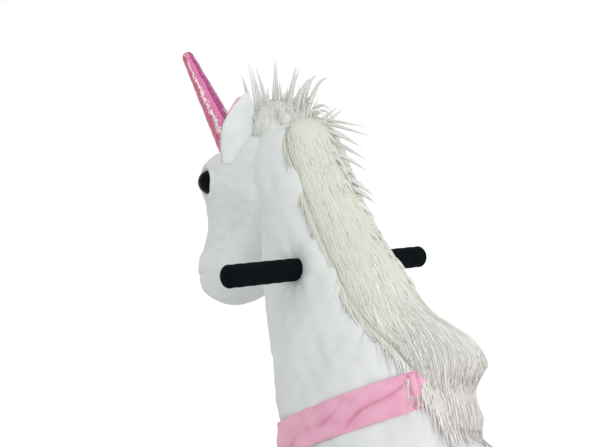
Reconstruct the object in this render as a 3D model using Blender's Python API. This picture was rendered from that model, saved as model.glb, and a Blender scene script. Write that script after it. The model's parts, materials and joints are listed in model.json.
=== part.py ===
"""Plush walking ride-on animal with a horn, at its real size in metres, +Z up, facing -Y.

The head and neck turn with the handlebar about an upright axis over the front legs. The front and rear legs
swing out on pivots inside the body against two springs, and the front wheels steer through a fork joint on
the front pivot line, a lower shaft and a tie rod.
"""

import math

import bmesh
import bpy
from mathutils import Matrix, Vector

# Gaps: between faces that rest on each other, round a turning part, and a cutter's reach past a face
touch = 0.0003
running = 0.0005
overrun = 0.004

# Main sizes
horn_reach = 0.353
tail_reach = 0.550
horn_height = 0.975
handle_height = 0.680
handle_half_width = 0.172
pivot_height = 0.400
wheelbase = 0.385
leg_spacing = 0.080
steer_y = (horn_reach - tail_reach) / 2

# Barrel of the body
barrel_front = 0.060
barrel_rear = 0.500
barrel_half_width = 0.120
barrel_half_height = 0.090
barrel_height = 0.398
belly_height = 0.310
barrel_place_shares = (0.0, 0.03, 0.08, 0.15, 0.26, 0.42, 0.58, 0.72, 0.81, 0.90, 0.96, 1.0)
barrel_width_shares = (0.0, 0.50, 0.70, 0.86, 0.94, 0.90, 0.87, 0.93, 1.0, 0.90, 0.62, 0.0)
barrel_depth_shares = (0.0, 0.48, 0.66, 0.81, 0.925, 0.97, 0.97, 0.97, 0.98, 0.88, 0.60, 0.0)
barrel_rise_shares = (-0.30, -0.30, -0.255, -0.16, -0.053, -0.01, 0.0, 0.0, 0.02, 0.085, 0.19, 0.27)
barrel_fullness = 0.86

# Neck: its foot belongs to the body, and the rest turns with the head above a flat joint
neck_joint_height = 0.605
neck_joint_gap = 0.003
neck_height = 0.263
neck_front = 0.135
neck_back = 0.195
neck_half_width = 0.079
neck_egg_share = 0.10
neck_level_shares = (0.0, 0.126, 0.28, 0.433, 0.586, 0.739, 0.893, 0.969, 1.0)
neck_front_shares = (0.726, 0.756, 0.80, 0.837, 0.889, 0.948, 1.0, 0.926, 0.741)
neck_back_shares = (1.0, 0.795, 0.605, 0.421, 0.256, 0.113, -0.041, -0.154, -0.282)
neck_width_shares = (1.0, 0.873, 0.747, 0.722, 0.709, 0.696, 0.633, 0.456, 0.203)
foot_height = 0.215
foot_level_shares = (0.0, 0.22, 0.42, 0.60, 0.79, 1.0)
foot_front_shares = (0.32, 0.43, 0.515, 0.59, 0.655, 0.726)
foot_back_shares = (1.05, 1.20, 1.25, 1.23, 1.14, 1.0)
foot_width_shares = (0.80, 0.97, 1.10, 1.12, 1.08, 1.0)

# Head, as level slices from the lip to the poll
head_low = 0.600
head_height = 0.258
head_front = 0.278
head_half_width = 0.059
head_level_shares = (0.0, 0.023, 0.068, 0.152, 0.236, 0.342, 0.449, 0.570, 0.692, 0.783, 0.875, 0.951, 1.0)
head_front_shares = (0.845, 0.90, 0.964, 0.996, 1.0, 0.964, 0.928, 0.935, 0.968, 0.960, 0.863, 0.70, 0.56)
head_back_shares = (0.737, 0.676, 0.612, 0.561, 0.525, 0.45, 0.36, 0.27, 0.216, 0.216, 0.252, 0.306, 0.378)
head_width_shares = (0.20, 0.47, 0.71, 0.864, 0.89, 0.83, 0.797, 0.898, 1.0, 0.983, 0.847, 0.61, 0.27)

# Hair
mane_thickness = 0.018
mane_edge_forward_shares = (0.55, 0.28, -0.15, -0.70, -1.02)
mane_edge_level_shares = (1.20, 0.74, 0.43, 0.165, -0.01)
tuft_forward = 0.120
tuft_radius = 0.028
tuft_height = 0.955
tuft_rise_shares = (1.0, 0.92, 0.97, 0.86, 0.90, 0.72, 0.76, 0.60, 0.64)
tuft_forward_shares = (0.1, 0.75, -0.7, -1.3, 0.5, 1.05, -1.9, -2.1, 1.2)
tuft_side_shares = (0.0, 0.55, 0.5, 0.2, -0.7, -0.2, 0.65, -0.55, 0.75)
tuft_spike_radius = 0.013
tuft_foot_side_share = 0.55
tuft_foot_forward_share = 0.30
tuft_foot_rise_share = 0.25
tail_root_height = 0.450
tail_drop = 0.245
tail_radius = 0.028
tail_back_shares = (0.86, 0.905, 0.937, 0.949, 0.949, 0.94, 0.925, 0.915)
tail_drop_shares = (0.0, -0.02, 0.06, 0.25, 0.48, 0.70, 0.90, 1.0)
tail_radius_shares = (0.55, 0.70, 0.85, 1.0, 1.0, 0.85, 0.55, 0.20)

# Horn, ears and eyes
horn_root_forward = 0.216
horn_root_height = 0.815
horn_root_radius = 0.0190
horn_tip_radius = 0.0080
ear_side = 0.047
ear_forward = 0.152
ear_root_height = 0.822
ear_length = 0.093
ear_half_width = 0.023
ear_thickness = 0.013
ear_lean_back = 0.036
ear_lean_out = 0.007
ear_turn = math.radians(5)
ear_width_shares = (0.70, 0.92, 1.0, 0.94, 0.72, 0.40, 0.10)
ear_level_shares = (0.0, 0.18, 0.38, 0.58, 0.78, 0.92, 1.0)
eye_side = 0.046
eye_forward = 0.214
eye_height = 0.784
eye_radius = 0.0180

# Handlebar and grips
bar_radius = 0.011
bar_end_cover = 0.005
grip_radius = 0.0155
grip_start = 0.040
grip_length = handle_half_width - grip_start
grip_rounding = 0.006
tee_radius = 0.0145
tee_half_length = 0.026
bracket_radius = 0.007
bracket_reach = 0.205
bracket_rise = 0.105
bracket_forward_shares = (0.0, 0.0, 0.22, 0.58, 1.0)
bracket_rise_shares = (0.0, 0.30, 0.88, 1.0, 0.72)

# Steering column and its bushes
column_radius = 0.011
collar_radius = 0.0175
collar_height = 0.008
fork_head_radius = 0.013
fork_head_low = 0.392
fork_slot_half_width = 0.0035
fork_slot_top = 0.412
bush_flange = 0.003
bush_flange_reach = 0.003

# Welded body frame
beam_half_width = 0.020
beam_low = 0.428
beam_high = 0.458
beam_overhang = 0.015
head_tube_radius = 0.020
head_tube_low = 0.424
head_tube_high = 0.520
head_tube_wall = 0.004
plate_thickness = 0.005
plate_low = 0.385
plate_inner = 0.0195
lug_low = 0.335
lug_width = 0.008
rest_height = 0.005
rest_radius = 0.012
rest_place_shares = (0.2, 0.8)
spring_tab_half_width = 0.002
spring_tab_drop = 0.013
spring_tab_half_length = 0.007

# Seat board
board_front = 0.262
board_length = 0.165
board_half_width = 0.050
board_thickness = 0.012

# Room for the frame inside the body
channel_half_width = 0.046
channel_front = 0.036
channel_rear = 0.440
pocket_half_length = 0.020
pocket_margin = 0.005
pocket_top = 0.365
head_hole_radius = 0.0235

# Leg frames
swing = math.radians(10)
ear_plate_gap = 0.0015
ear_plate_half_length = 0.012
cross_drop = 0.055
cross_height = pivot_height - cross_drop
cross_half_length = 0.0445
leg_tube_radius = 0.0125
splay_start = 0.033
splay_low = 0.230
brace_height = 0.170
brace_radius = 0.010
boss_radius = 0.0145
boss_half_height = 0.015
shaft_bush_wall = 0.0035
pivot_bolt_radius = 0.005
pivot_clearance = 0.0003
bolt_head_height = 0.0045
bolt_head_radius = 0.008
buffer_depth = 0.008
buffer_half_height = 0.008
buffer_bridge = 0.008
notch_gap = 0.002

# Return springs
spring_arm = 0.100
spring_arm_half_width = 0.004
spring_arm_half_height = 0.006
spring_arm_end = 0.008
spring_radius = 0.0075
spring_wire_radius = 0.0012
spring_turns = 7
spring_points = 8
spring_wire_sides = 6
spring_hook = 0.006
spring_lead = 0.010

# Steering shaft, arms and tie rod
shaft_radius = 0.008
tongue_half_width = 0.0025
tongue_half_length = 0.0075
tongue_low = 0.385
tongue_high = 0.405
arm_length = 0.050
arm_half_width = 0.009
arm_thickness = 0.005
pin_radius = 0.004
pin_clearance = 0.0004
tie_rod_thickness = 0.006
tie_rod_half_width = 0.008
tie_rod_overhang = 0.010
pin_above = 0.0012

# Wheels, forks and hooves
wheel_radius = 0.0375
wheel_half_width = 0.011
tyre_thickness = 0.0135
tyre_shoulder = 0.003
hub_rim = 0.005
hub_web_side = 0.002
hub_boss_radius = 0.009
axle_radius = 0.004
fork_side_gap = 0.002
fork_plate_thickness = 0.003
fork_plate_half_length = 0.014
fork_plate_low = 0.026
crown_low = 0.080
crown_thickness = 0.005
crown_half_length = 0.018
spacer_radius = 0.012
kingpin_high = 0.155
hoof_low = 0.012
hoof_high = 0.112
hoof_wall = 0.003
hoof_half_width = 0.054
hoof_half_length = 0.058
hoof_level_shares = (0.0, 0.08, 0.50, 0.88, 1.0)
hoof_reach_shares = (0.97, 1.0, 0.93, 0.81, 0.73)

# Stuffed legs
leg_plush_low = 0.128
leg_plush_high = 0.295
leg_plush_half_width = 0.050
leg_plush_half_length = 0.060
leg_level_shares = (0.0, 0.06, 0.38, 0.62, 0.95, 1.0)
leg_width_shares = (0.66, 0.80, 0.70, 0.76, 0.98, 0.92)
leg_length_shares = (0.60, 0.73, 0.62, 0.70, 0.98, 0.92)
leg_top_side = 0.072

# Footrests
footrest_inner = 0.124
footrest_half_length = 0.022
footrest_below = 0.013
footrest_above = 0.015
footrest_bevel = 0.003

# Saddle and breast band
saddle_gap = 0.003
saddle_front = neck_back * max(foot_back_shares) + saddle_gap
saddle_length = 0.213
saddle_half_width = 0.124
saddle_low = 0.452
saddle_centre_height = 0.420
saddle_padding = 0.018
saddle_seat_height = barrel_height + barrel_half_height + saddle_padding
saddle_place_shares = (0.0, 0.05, 0.16, 0.32, 0.50, 0.68, 0.84, 0.95, 1.0)
saddle_rise_shares = (0.86, 0.92, 0.94, 0.97, 1.0, 1.08, 1.22, 1.30, 1.16)
saddle_width_shares = (0.86, 0.90, 0.92, 0.93, 0.95, 0.98, 1.0, 0.98, 0.93)
cloth_thickness = 0.006
flap_low = 0.365
flap_slant = 0.030
cloth_rear_share = 0.86
band_thickness = 0.005
band_width = 0.050
band_slope_share = 0.40
band_top_at_axis = 0.485

# Facets
tube_sides = 10
fine_sides = 14
wheel_sides = 18
ring_sides = 18
limb_sides = 16
eye_segments = 14
eye_sides = 8
hex_sides = 6
spike_sides = 6
ear_back_points = 6
crease_angle = math.radians(35)

# Colours, as linear red, green and blue, with roughness and metal share
white_plush = ("white_plush", (0.76, 0.78, 0.78), 0.95, 0.0)
long_fur = ("long_fur", (0.72, 0.72, 0.64), 0.90, 0.0)
pink_satin = ("pink_satin", (0.82, 0.42, 0.60), 0.55, 0.0)
pink_film = ("pink_film", (0.72, 0.16, 0.38), 0.25, 0.3)
black_rubber = ("black_rubber", (0.010, 0.014, 0.018), 0.85, 0.0)
black_eye = ("black_eye", (0.008, 0.008, 0.010), 0.08, 0.0)
painted_steel = ("painted_steel", (0.030, 0.032, 0.035), 0.45, 0.6)
zinc_steel = ("zinc_steel", (0.55, 0.56, 0.58), 0.35, 1.0)
grey_nylon = ("grey_nylon", (0.30, 0.31, 0.33), 0.60, 0.0)
hoof_plastic = ("hoof_plastic", (0.55, 0.50, 0.46), 0.50, 0.0)
birch_ply = ("birch_ply", (0.52, 0.36, 0.20), 0.70, 0.0)


def place(side, forward, up):
    """A point from its distances to the left, ahead of the steering axis and above the floor."""
    return Vector((side, steer_y - forward, up))


def make_material(finish):
    """The Principled material of a finish, made once."""
    name, colour, roughness, metal = finish
    material = bpy.data.materials.get(name)
    if material is None:
        material = bpy.data.materials.new(name)
        material.use_nodes = True
        shader = material.node_tree.nodes["Principled BSDF"]
        shader.inputs["Base Color"].default_value = (*colour, 1.0)
        shader.inputs["Roughness"].default_value = roughness
        shader.inputs["Metallic"].default_value = metal
        material.diffuse_color = (*colour, 1.0)
    return material


def solid_from(maker, name):
    """An object in the scene from a bmesh, with its faces turned outward."""
    bmesh.ops.recalc_face_normals(maker, faces=maker.faces)
    mesh = bpy.data.meshes.new(name)
    maker.to_mesh(mesh)
    maker.free()
    solid = bpy.data.objects.new(name, mesh)
    bpy.context.scene.collection.objects.link(solid)
    return solid


def loft(name, rings, first_point=None, last_point=None):
    """A closed skin over rings of equal count, ending in a point or a flat face.

    Its triangles always run the same way, so that a grown copy lies outside the original all over.
    """
    maker = bmesh.new()
    loops = [[maker.verts.new(point) for point in ring] for ring in rings]
    for lower, upper in zip(loops, loops[1:]):
        for index in range(len(lower)):
            following = (index + 1) % len(lower)
            maker.faces.new((lower[index], lower[following], upper[following]))
            maker.faces.new((lower[index], upper[following], upper[index]))
    for loop, point in ((loops[0], first_point), (loops[-1], last_point)):
        if point is None:
            maker.faces.new(loop)
            continue
        pole = maker.verts.new(point)
        for index in range(len(loop)):
            maker.faces.new((loop[index], loop[(index + 1) % len(loop)], pole))
    return solid_from(maker, name)


def box(name, low, high):
    """A box between two corners given as (side, forward, up)."""
    first = place(*low)
    second = place(*high)
    rings = []
    for up in (first.z, second.z):
        ring = ((first.x, first.y), (second.x, first.y), (second.x, second.y), (first.x, second.y))
        rings.append([Vector((x, y, up)) for x, y in ring])
    return loft(name, rings)


def circle(centre, across, along, radius, sides):
    """Points round a centre in the plane of two unit directions."""
    points = []
    for step in range(sides):
        angle = 2 * math.pi * (step + 0.5) / sides
        points.append(centre + radius * (math.cos(angle) * across + math.sin(angle) * along))
    return points


def tube(name, path, radii, sides=tube_sides):
    """A round bar along a path, its joints mitred, with one radius or one for each point."""
    if not isinstance(radii, (list, tuple)):
        radii = [radii] * len(path)
    runs = [(after - before).normalized() for before, after in zip(path, path[1:])]
    reference = Vector((1, 0, 0)) if abs(runs[0].x) < 0.9 else Vector((0, 0, 1))
    rings = []
    for index, point in enumerate(path):
        arriving = runs[max(index - 1, 0)]
        leaving = runs[min(index, len(runs) - 1)]
        facing = (arriving + leaving).normalized()
        stretch = 1 / max(facing.dot(leaving), 0.5)
        reference = (reference - reference.dot(facing) * facing).normalized()
        other = facing.cross(reference)
        turning = arriving.cross(leaving)
        ring = circle(point, reference, other, radii[index], sides)
        if turning.length > 0.01:
            inward = turning.normalized().cross(facing)
            ring = [spot + (stretch - 1) * (spot - point).dot(inward) * inward for spot in ring]
        rings.append(ring)
    return loft(name, rings)


def bar_x(name, radius, start, end, forward, up, sides=tube_sides):
    """A round bar across the toy."""
    return tube(name, [place(start, forward, up), place(end, forward, up)], radius, sides)


def post(name, radius, low, high, side=0.0, forward=0.0, sides=tube_sides):
    """An upright round bar."""
    return tube(name, [place(side, forward, low), place(side, forward, high)], radius, sides)


def turned(name, profile, side, forward, up, sides):
    """A ring turned about the cross axis, a flat facing down, from a closed list of (radius, side) points."""
    maker = bmesh.new()
    loops = []
    for step in range(sides):
        angle = 2 * math.pi * (step + 0.5) / sides - math.pi / 2
        loop = []
        for radius, offset in profile:
            true_radius = radius / math.cos(math.pi / sides)
            ahead = forward + true_radius * math.cos(angle)
            loop.append(maker.verts.new(place(side + offset, ahead, up + true_radius * math.sin(angle))))
        loops.append(loop)
    for step in range(sides):
        near = loops[step]
        far = loops[(step + 1) % sides]
        for index in range(len(profile)):
            following = (index + 1) % len(profile)
            maker.faces.new((near[index], near[following], far[following], far[index]))
    return solid_from(maker, name)


def combine(target, tool, operation):
    """Joins, cuts or limits one solid by another, which is used up."""
    modifier = target.modifiers.new("Shape", "BOOLEAN")
    modifier.operation = operation
    modifier.solver = "EXACT"
    modifier.object = tool
    graph = bpy.context.evaluated_depsgraph_get()
    mesh = bpy.data.meshes.new_from_object(target.evaluated_get(graph))
    target.modifiers.clear()
    target.data = mesh
    bpy.data.objects.remove(tool)
    return target


def union(target, *tools):
    for tool in tools:
        combine(target, tool, "UNION")
    return target


def cut(target, *tools):
    for tool in tools:
        combine(target, tool, "DIFFERENCE")
    return target


def limit(target, *tools):
    for tool in tools:
        combine(target, tool, "INTERSECT")
    return target


def finish(piece, look, joint):
    """Names the look of a piece and hangs it on its body's joint."""
    piece.data.materials.clear()
    piece.data.materials.append(make_material(look))
    piece.data.shade_smooth()
    piece.data.set_sharp_from_angle(angle=crease_angle)
    piece.data.transform(Matrix.Translation(-joint.location))
    piece.parent = joint
    return piece


def joint_at(name, side, forward, up):
    """An empty on a joint's axis, which carries the pieces that move with it."""
    empty = bpy.data.objects.new(name, None)
    empty.location = place(side, forward, up)
    bpy.context.scene.collection.objects.link(empty)
    return empty


def level_ring(up, front, back, half_width, grow):
    """A level slice of the neck or head, with its blunt end ahead."""
    middle = (front + back) / 2
    half = (front - back) / 2 + grow
    ring = []
    for step in range(ring_sides):
        angle = 2 * math.pi * (step + 0.5) / ring_sides
        ahead = math.sin(angle)
        width = (half_width + grow) * (1 + neck_egg_share * ahead)
        ring.append(place(width * math.cos(angle), middle + half * ahead, up))
    return ring


def neck_solid(name, grow=0.0, lift=0.0):
    """The turning part of the neck, from the flat joint to the poll."""
    rings = []
    rows = zip(neck_level_shares, neck_front_shares, neck_back_shares, neck_width_shares)
    for level, front, back, width in rows:
        up = neck_joint_height + neck_joint_gap + level * (neck_height + grow)
        ring = level_ring(up, front * neck_front, -back * neck_back, width * neck_half_width, grow)
        rings.append(ring)
    if lift:
        rings.insert(0, [point - Vector((0, 0, lift)) for point in rings[0]])
    return loft(name, rings)


def neck_foot(name, grow=0.0, lift=0.0):
    """The fixed foot of the neck, which grows out of the barrel."""
    rings = []
    rows = zip(foot_level_shares, foot_front_shares, foot_back_shares, foot_width_shares)
    for level, front, back, width in rows:
        up = neck_joint_height - foot_height * (1 - level)
        ring = level_ring(up, front * neck_front, -back * neck_back, width * neck_half_width, grow)
        rings.append(ring)
    if lift:
        rings.append([point + Vector((0, 0, lift)) for point in rings[-1]])
    return loft(name, rings)


def head_solid(name, grow=0.0):
    """The head from the lip to the poll."""
    rings = []
    rows = zip(head_level_shares, head_front_shares, head_back_shares, head_width_shares)
    for level, front, back, width in rows:
        up = head_low - grow + level * (head_height + 2 * grow)
        ring = level_ring(up, front * head_front, back * head_front, width * head_half_width, grow)
        rings.append(ring)
    return loft(name, rings)


def upright_ring(forward, up, half_width, half_height, fullness):
    """An upright slice across the barrel or saddle."""
    ring = []
    for step in range(ring_sides):
        angle = 2 * math.pi * (step + 0.5) / ring_sides
        across = math.copysign(abs(math.cos(angle)) ** fullness, math.cos(angle))
        rise = math.copysign(abs(math.sin(angle)) ** fullness, math.sin(angle))
        ring.append(place(half_width * across, forward, up + half_height * rise))
    return ring


def barrel_solid(name, grow=0.0):
    """The barrel from chest to rump."""
    length = barrel_front + barrel_rear + 2 * grow
    rows = zip(barrel_place_shares, barrel_width_shares, barrel_depth_shares, barrel_rise_shares)
    ends = []
    rings = []
    for along, width, depth, rise in rows:
        forward = barrel_front + grow - along * length
        up = barrel_height + rise * barrel_half_height
        if width == 0:
            ends.append(place(0.0, forward, up))
            continue
        half_width = width * barrel_half_width + grow
        half_height = depth * barrel_half_height + grow
        rings.append(upright_ring(forward, up, half_width, half_height, barrel_fullness))
    return loft(name, rings, ends[0], ends[1])


def profile_block(name, outline, half_width):
    """A block across the toy from an outline of (forward, up) points."""
    rings = []
    for side in (-half_width, half_width):
        rings.append([place(side, forward, up) for forward, up in outline])
    return loft(name, rings)


def mane_front_block(name):
    """What lies ahead of the mane's front edge, to be cut away."""
    outline = []
    for forward, level in zip(mane_edge_forward_shares, mane_edge_level_shares):
        outline.append((forward * neck_front, neck_joint_height + level * neck_height))
    outline.append((outline[-1][0], barrel_height))
    outline.append((horn_reach, barrel_height))
    outline.append((horn_reach, outline[0][1]))
    return profile_block(name, outline, saddle_half_width)


def band_top(forward):
    """Height of the breast band's upper edge."""
    return band_top_at_axis - band_slope_share * forward


def bracket_path():
    """Centre line of the bar from the handlebar tee up into the head."""
    foot = handle_height + tee_radius + touch
    points = []
    for forward, rise in zip(bracket_forward_shares, bracket_rise_shares):
        points.append(place(0.0, forward * bracket_reach, foot + rise * bracket_rise))
    return points


def make_body(chassis):
    """The stuffed body: barrel and neck foot, hollowed for the frame, the board and the legs' swing."""
    body = union(barrel_solid("body_plush"), neck_foot("foot"))
    below = box(
        "below",
        (-saddle_half_width - overrun, -tail_reach, 0.0),
        (saddle_half_width + overrun, horn_reach, belly_height),
    )
    channel = box(
        "channel",
        (-channel_half_width, -channel_rear, plate_low / 2),
        (channel_half_width, channel_front, beam_high + touch),
    )
    board_low = beam_high + rest_height
    board_room = box(
        "board_room",
        (-board_half_width - touch, -board_front - board_length - touch, beam_high - overrun),
        (board_half_width + touch, -board_front + touch, board_low + board_thickness + touch),
    )
    head_hole = post("head_hole", head_hole_radius, beam_low, neck_joint_height + overrun, sides=fine_sides)
    cut(body, below, channel, board_room, head_hole)
    depth = pivot_height - belly_height
    reach = depth * math.sin(swing) + leg_tube_radius + pocket_margin
    splay = (leg_spacing - splay_start) / (cross_height - splay_low)
    outer = splay_start + splay * (cross_height - belly_height) + leg_tube_radius + pocket_margin
    for sign in (-1, 1):
        for centre, ahead in ((0.0, 1), (-wheelbase, -1)):
            near = centre - ahead * pocket_half_length
            far = centre + ahead * reach
            cut(
                body,
                box(
                    "pocket",
                    (
                        min(sign * channel_half_width / 2, sign * outer),
                        min(near, far),
                        belly_height - overrun,
                    ),
                    (max(sign * channel_half_width / 2, sign * outer), max(near, far), pocket_top),
                ),
            )
    finish(body, white_plush, chassis)


def side_plates(centre, ahead):
    """The two plates that hold a pivot, each with a stop lug before and behind the leg's cross tube."""
    travel = (pivot_height - cross_height) * math.sin(swing)
    back_stop = leg_tube_radius + buffer_depth
    front_stop = leg_tube_radius + travel + running
    plates = []
    for sign in (-1, 1):
        inner = sign * plate_inner
        outer = sign * (plate_inner + plate_thickness)
        low_side = min(inner, outer)
        high_side = max(inner, outer)
        rear_edge = centre - ahead * (back_stop + lug_width)
        front_edge = centre + ahead * (front_stop + lug_width)
        plate = box(
            "plate",
            (low_side, min(rear_edge, front_edge), plate_low),
            (high_side, max(rear_edge, front_edge), beam_high - overrun),
        )
        for edge, facing in ((rear_edge, 1), (front_edge, -1)):
            inward = edge + facing * ahead * lug_width
            union(
                plate,
                box(
                    "lug",
                    (low_side, min(edge, inward), lug_low),
                    (high_side, max(edge, inward), plate_low + overrun),
                ),
            )
        plates.append(plate)
    return plates


def make_body_frame(chassis):
    """Spine beam, head tube, pivot plates, board rests and spring tabs, welded into one."""
    frame = box(
        "body_frame",
        (-beam_half_width, -wheelbase - beam_overhang, beam_low),
        (beam_half_width, -head_tube_radius + head_tube_wall / 2, beam_high),
    )
    union(frame, post("head_tube", head_tube_radius, head_tube_low, head_tube_high, sides=fine_sides))
    for centre, ahead in ((0.0, 1), (-wheelbase, -1)):
        union(frame, *side_plates(centre, ahead))
    for share in rest_place_shares:
        spot = -board_front - share * board_length
        rest_top = beam_high + rest_height - touch
        union(frame, post("rest", rest_radius, beam_high - overrun, rest_top, forward=spot))
    for spot in (-spring_arm, -wheelbase + spring_arm):
        tab = box(
            "tab",
            (-spring_tab_half_width, spot - spring_tab_half_length, beam_low - spring_tab_drop),
            (spring_tab_half_width, spot + spring_tab_half_length, beam_low + overrun),
        )
        eye = bar_x("eye", spring_wire_radius + touch, -overrun, overrun, spot, spring_top(), eye_sides)
        union(frame, cut(tab, eye))
    bore = head_tube_radius - head_tube_wall
    cut(frame, post("bore", bore, head_tube_low - overrun, head_tube_high + overrun, sides=fine_sides))
    hole = pivot_bolt_radius + pivot_clearance
    for centre in (0.0, -wheelbase):
        reach = plate_inner + plate_thickness + overrun
        cut(frame, bar_x("hole", hole, -reach, reach, centre, pivot_height, fine_sides))
    finish(frame, painted_steel, chassis)


def make_seat_board(chassis):
    low = beam_high + rest_height
    board = box(
        "seat_board",
        (-board_half_width, -board_front - board_length, low),
        (board_half_width, -board_front, low + board_thickness),
    )
    finish(board, birch_ply, chassis)


def make_pivots(chassis):
    """Front shoulder screws beside the steering joint, and one long rear bolt with its nut."""
    inner = plate_inner - touch
    outer = plate_inner + 2 * plate_thickness + ear_plate_gap + touch
    end = outer + bolt_head_height
    for name, sign in (("front_pivot_screw_left", 1), ("front_pivot_screw_right", -1)):
        screw = bar_x(name, bolt_head_radius, sign * outer, sign * end, 0.0, pivot_height, hex_sides)
        shank = bar_x("shank", pivot_bolt_radius, sign * inner, sign * (end - touch), 0.0, pivot_height)
        finish(union(screw, shank), zinc_steel, chassis)
    bolt = bar_x("rear_pivot_bolt", pivot_bolt_radius, -end, end + touch, -wheelbase, pivot_height)
    for sign in (-1, 1):
        cap_end = sign * (end - touch)
        cap = bar_x("cap", bolt_head_radius, sign * outer, cap_end, -wheelbase, pivot_height, hex_sides)
        union(bolt, cap)
    finish(bolt, zinc_steel, chassis)


def make_head_tube_liner(chassis):
    """The nylon liner that the column turns in, with a flange at each end of the head tube."""
    bore = head_tube_radius - head_tube_wall
    low = head_tube_low - touch
    high = head_tube_high + touch
    liner = post("head_tube_liner", bore - touch, low - bush_flange, high + bush_flange, sides=fine_sides)
    reach = bore + bush_flange_reach
    union(liner, post("flange", reach, low - bush_flange, low, sides=fine_sides))
    union(liner, post("flange", reach, high, high + bush_flange, sides=fine_sides))
    low_end = low - bush_flange - overrun
    high_end = high + bush_flange + overrun
    cut(liner, post("hole", column_radius + running, low_end, high_end, sides=fine_sides))
    finish(liner, grey_nylon, chassis)


def make_stop_buffer(name, centre, ahead, chassis):
    """A rubber block on the two rear lugs, notched for the spring arm: the cross tube rests on it."""
    near = centre - ahead * (leg_tube_radius + touch)
    far = centre - ahead * (leg_tube_radius + buffer_depth - touch)
    width = plate_inner + plate_thickness
    notch_top = cross_height + boss_half_height + notch_gap
    block = box(
        name,
        (-width, min(near, far), cross_height - buffer_half_height),
        (width, max(near, far), notch_top + buffer_bridge),
    )
    notch_half_width = boss_radius + notch_gap
    notch = box(
        "notch",
        (-notch_half_width, min(near, far) - overrun, cross_height - buffer_half_height - overrun),
        (notch_half_width, max(near, far) + overrun, notch_top),
    )
    finish(cut(block, notch), black_rubber, chassis)


def spring_top():
    """Height of the hole that the upper hook passes through."""
    return beam_low - spring_tab_drop / 2


def least_gap(path, radius):
    """Least space between the points of a wound bar that lie half a turn or more apart."""
    apart = spring_points // 2
    gaps = []
    for index, point in enumerate(path):
        for other in path[index + apart:]:
            gaps.append((other - point).length - 2 * radius)
    return min(gaps)


def make_spring(name, centre, chassis):
    """An upright extension spring whose hooks pass through the tab above and the arm below."""
    top = spring_top()
    low = cross_height
    coil_low = low + spring_lead
    coil_high = top - spring_lead
    path = [place(spring_hook, centre, low), place(-spring_radius, centre, low)]
    steps = spring_turns * spring_points
    for step in range(steps + 1):
        angle = 2 * math.pi * step / spring_points
        up = coil_low + (coil_high - coil_low) * step / steps
        side = -spring_radius * math.cos(angle)
        path.append(place(side, centre + spring_radius * math.sin(angle), up))
    path.append(place(-spring_radius, centre, top))
    path.append(place(spring_hook, centre, top))
    print(name, "least gap between turns:", round(least_gap(path, spring_wire_radius), 5))
    finish(tube(name, path, spring_wire_radius, spring_wire_sides), zinc_steel, chassis)


def leg_frame(name, centre, ahead, low, brace_half_length):
    """Pivot ears, cross tube, two splayed leg tubes, a lower brace and the spring arm."""
    frame = bar_x(name, leg_tube_radius, -cross_half_length, cross_half_length, centre, cross_height)
    ear_inner = plate_inner + plate_thickness + ear_plate_gap
    ear_outer = ear_inner + plate_thickness
    for sign in (-1, 1):
        ear = box(
            "ear",
            (min(sign * ear_inner, sign * ear_outer), centre - ear_plate_half_length, cross_height),
            (max(sign * ear_inner, sign * ear_outer), centre + ear_plate_half_length, pivot_height),
        )
        ends = (sign * ear_inner, sign * ear_outer)
        knuckle = bar_x("knuckle", ear_plate_half_length, *ends, centre, pivot_height)
        union(ear, knuckle)
        path = [
            place(sign * splay_start, centre, cross_height),
            place(sign * leg_spacing, centre, splay_low),
            place(sign * leg_spacing, centre, low),
        ]
        union(frame, ear, tube("leg", path, leg_tube_radius))
    union(frame, bar_x("brace", brace_radius, -brace_half_length, brace_half_length, centre, brace_height))
    arm_start = centre
    arm_end = centre - ahead * (spring_arm + spring_arm_end)
    arm = box(
        "arm",
        (-spring_arm_half_width, min(arm_start, arm_end), cross_height - spring_arm_half_height),
        (spring_arm_half_width, max(arm_start, arm_end), cross_height + spring_arm_half_height),
    )
    eye_spot = centre - ahead * spring_arm
    reach = spring_hook + overrun
    eye = bar_x("eye", spring_wire_radius + touch, -reach, reach, eye_spot, cross_height, eye_sides)
    union(frame, cut(arm, eye))
    return frame


def cut_pivot_holes(frame, centre):
    reach = plate_inner + 2 * plate_thickness + ear_plate_gap + overrun
    hole = pivot_bolt_radius + pivot_clearance
    return cut(frame, bar_x("hole", hole, -reach, reach, centre, pivot_height, fine_sides))


def arm_low():
    """Underside of the steering arms, which rest on the front hooves' tops."""
    return hoof_high + touch


def make_front_leg_frame(joint):
    """The front leg frame, with bosses for the lower shaft and sockets for the kingpins."""
    low = arm_low() + arm_thickness + running
    frame = leg_frame("front_leg_frame", 0.0, 1, low, handle_half_width - footrest_bevel)
    bores = (
        (cross_height, shaft_radius + running),
        (brace_height, shaft_radius + running + shaft_bush_wall + touch),
    )
    for level, _ in bores:
        ends = (level - boss_half_height, level + boss_half_height)
        union(frame, post("boss", boss_radius, *ends, sides=fine_sides))
    for level, bore in bores:
        reach = boss_half_height + overrun
        cut(frame, post("bore", bore, level - reach, level + reach, sides=fine_sides))
    for sign in (-1, 1):
        top = kingpin_high + running
        socket = post("socket", shaft_radius + running, low - overrun, top, side=sign * leg_spacing)
        cut(frame, socket)
    cut_pivot_holes(frame, 0.0)
    finish(frame, painted_steel, joint)


def make_shaft_bush(joint):
    """The nylon bush in the lower boss."""
    low = brace_height - boss_half_height
    high = brace_height + boss_half_height
    bush = post("shaft_bush", shaft_radius + running + shaft_bush_wall, low, high, sides=fine_sides)
    cut(bush, post("hole", shaft_radius + running, low - overrun, high + overrun, sides=fine_sides))
    finish(bush, grey_nylon, joint)


def fork_side():
    """Distance from a wheel's centre plane to the inner face of a fork plate."""
    return wheel_half_width + fork_side_gap


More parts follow.
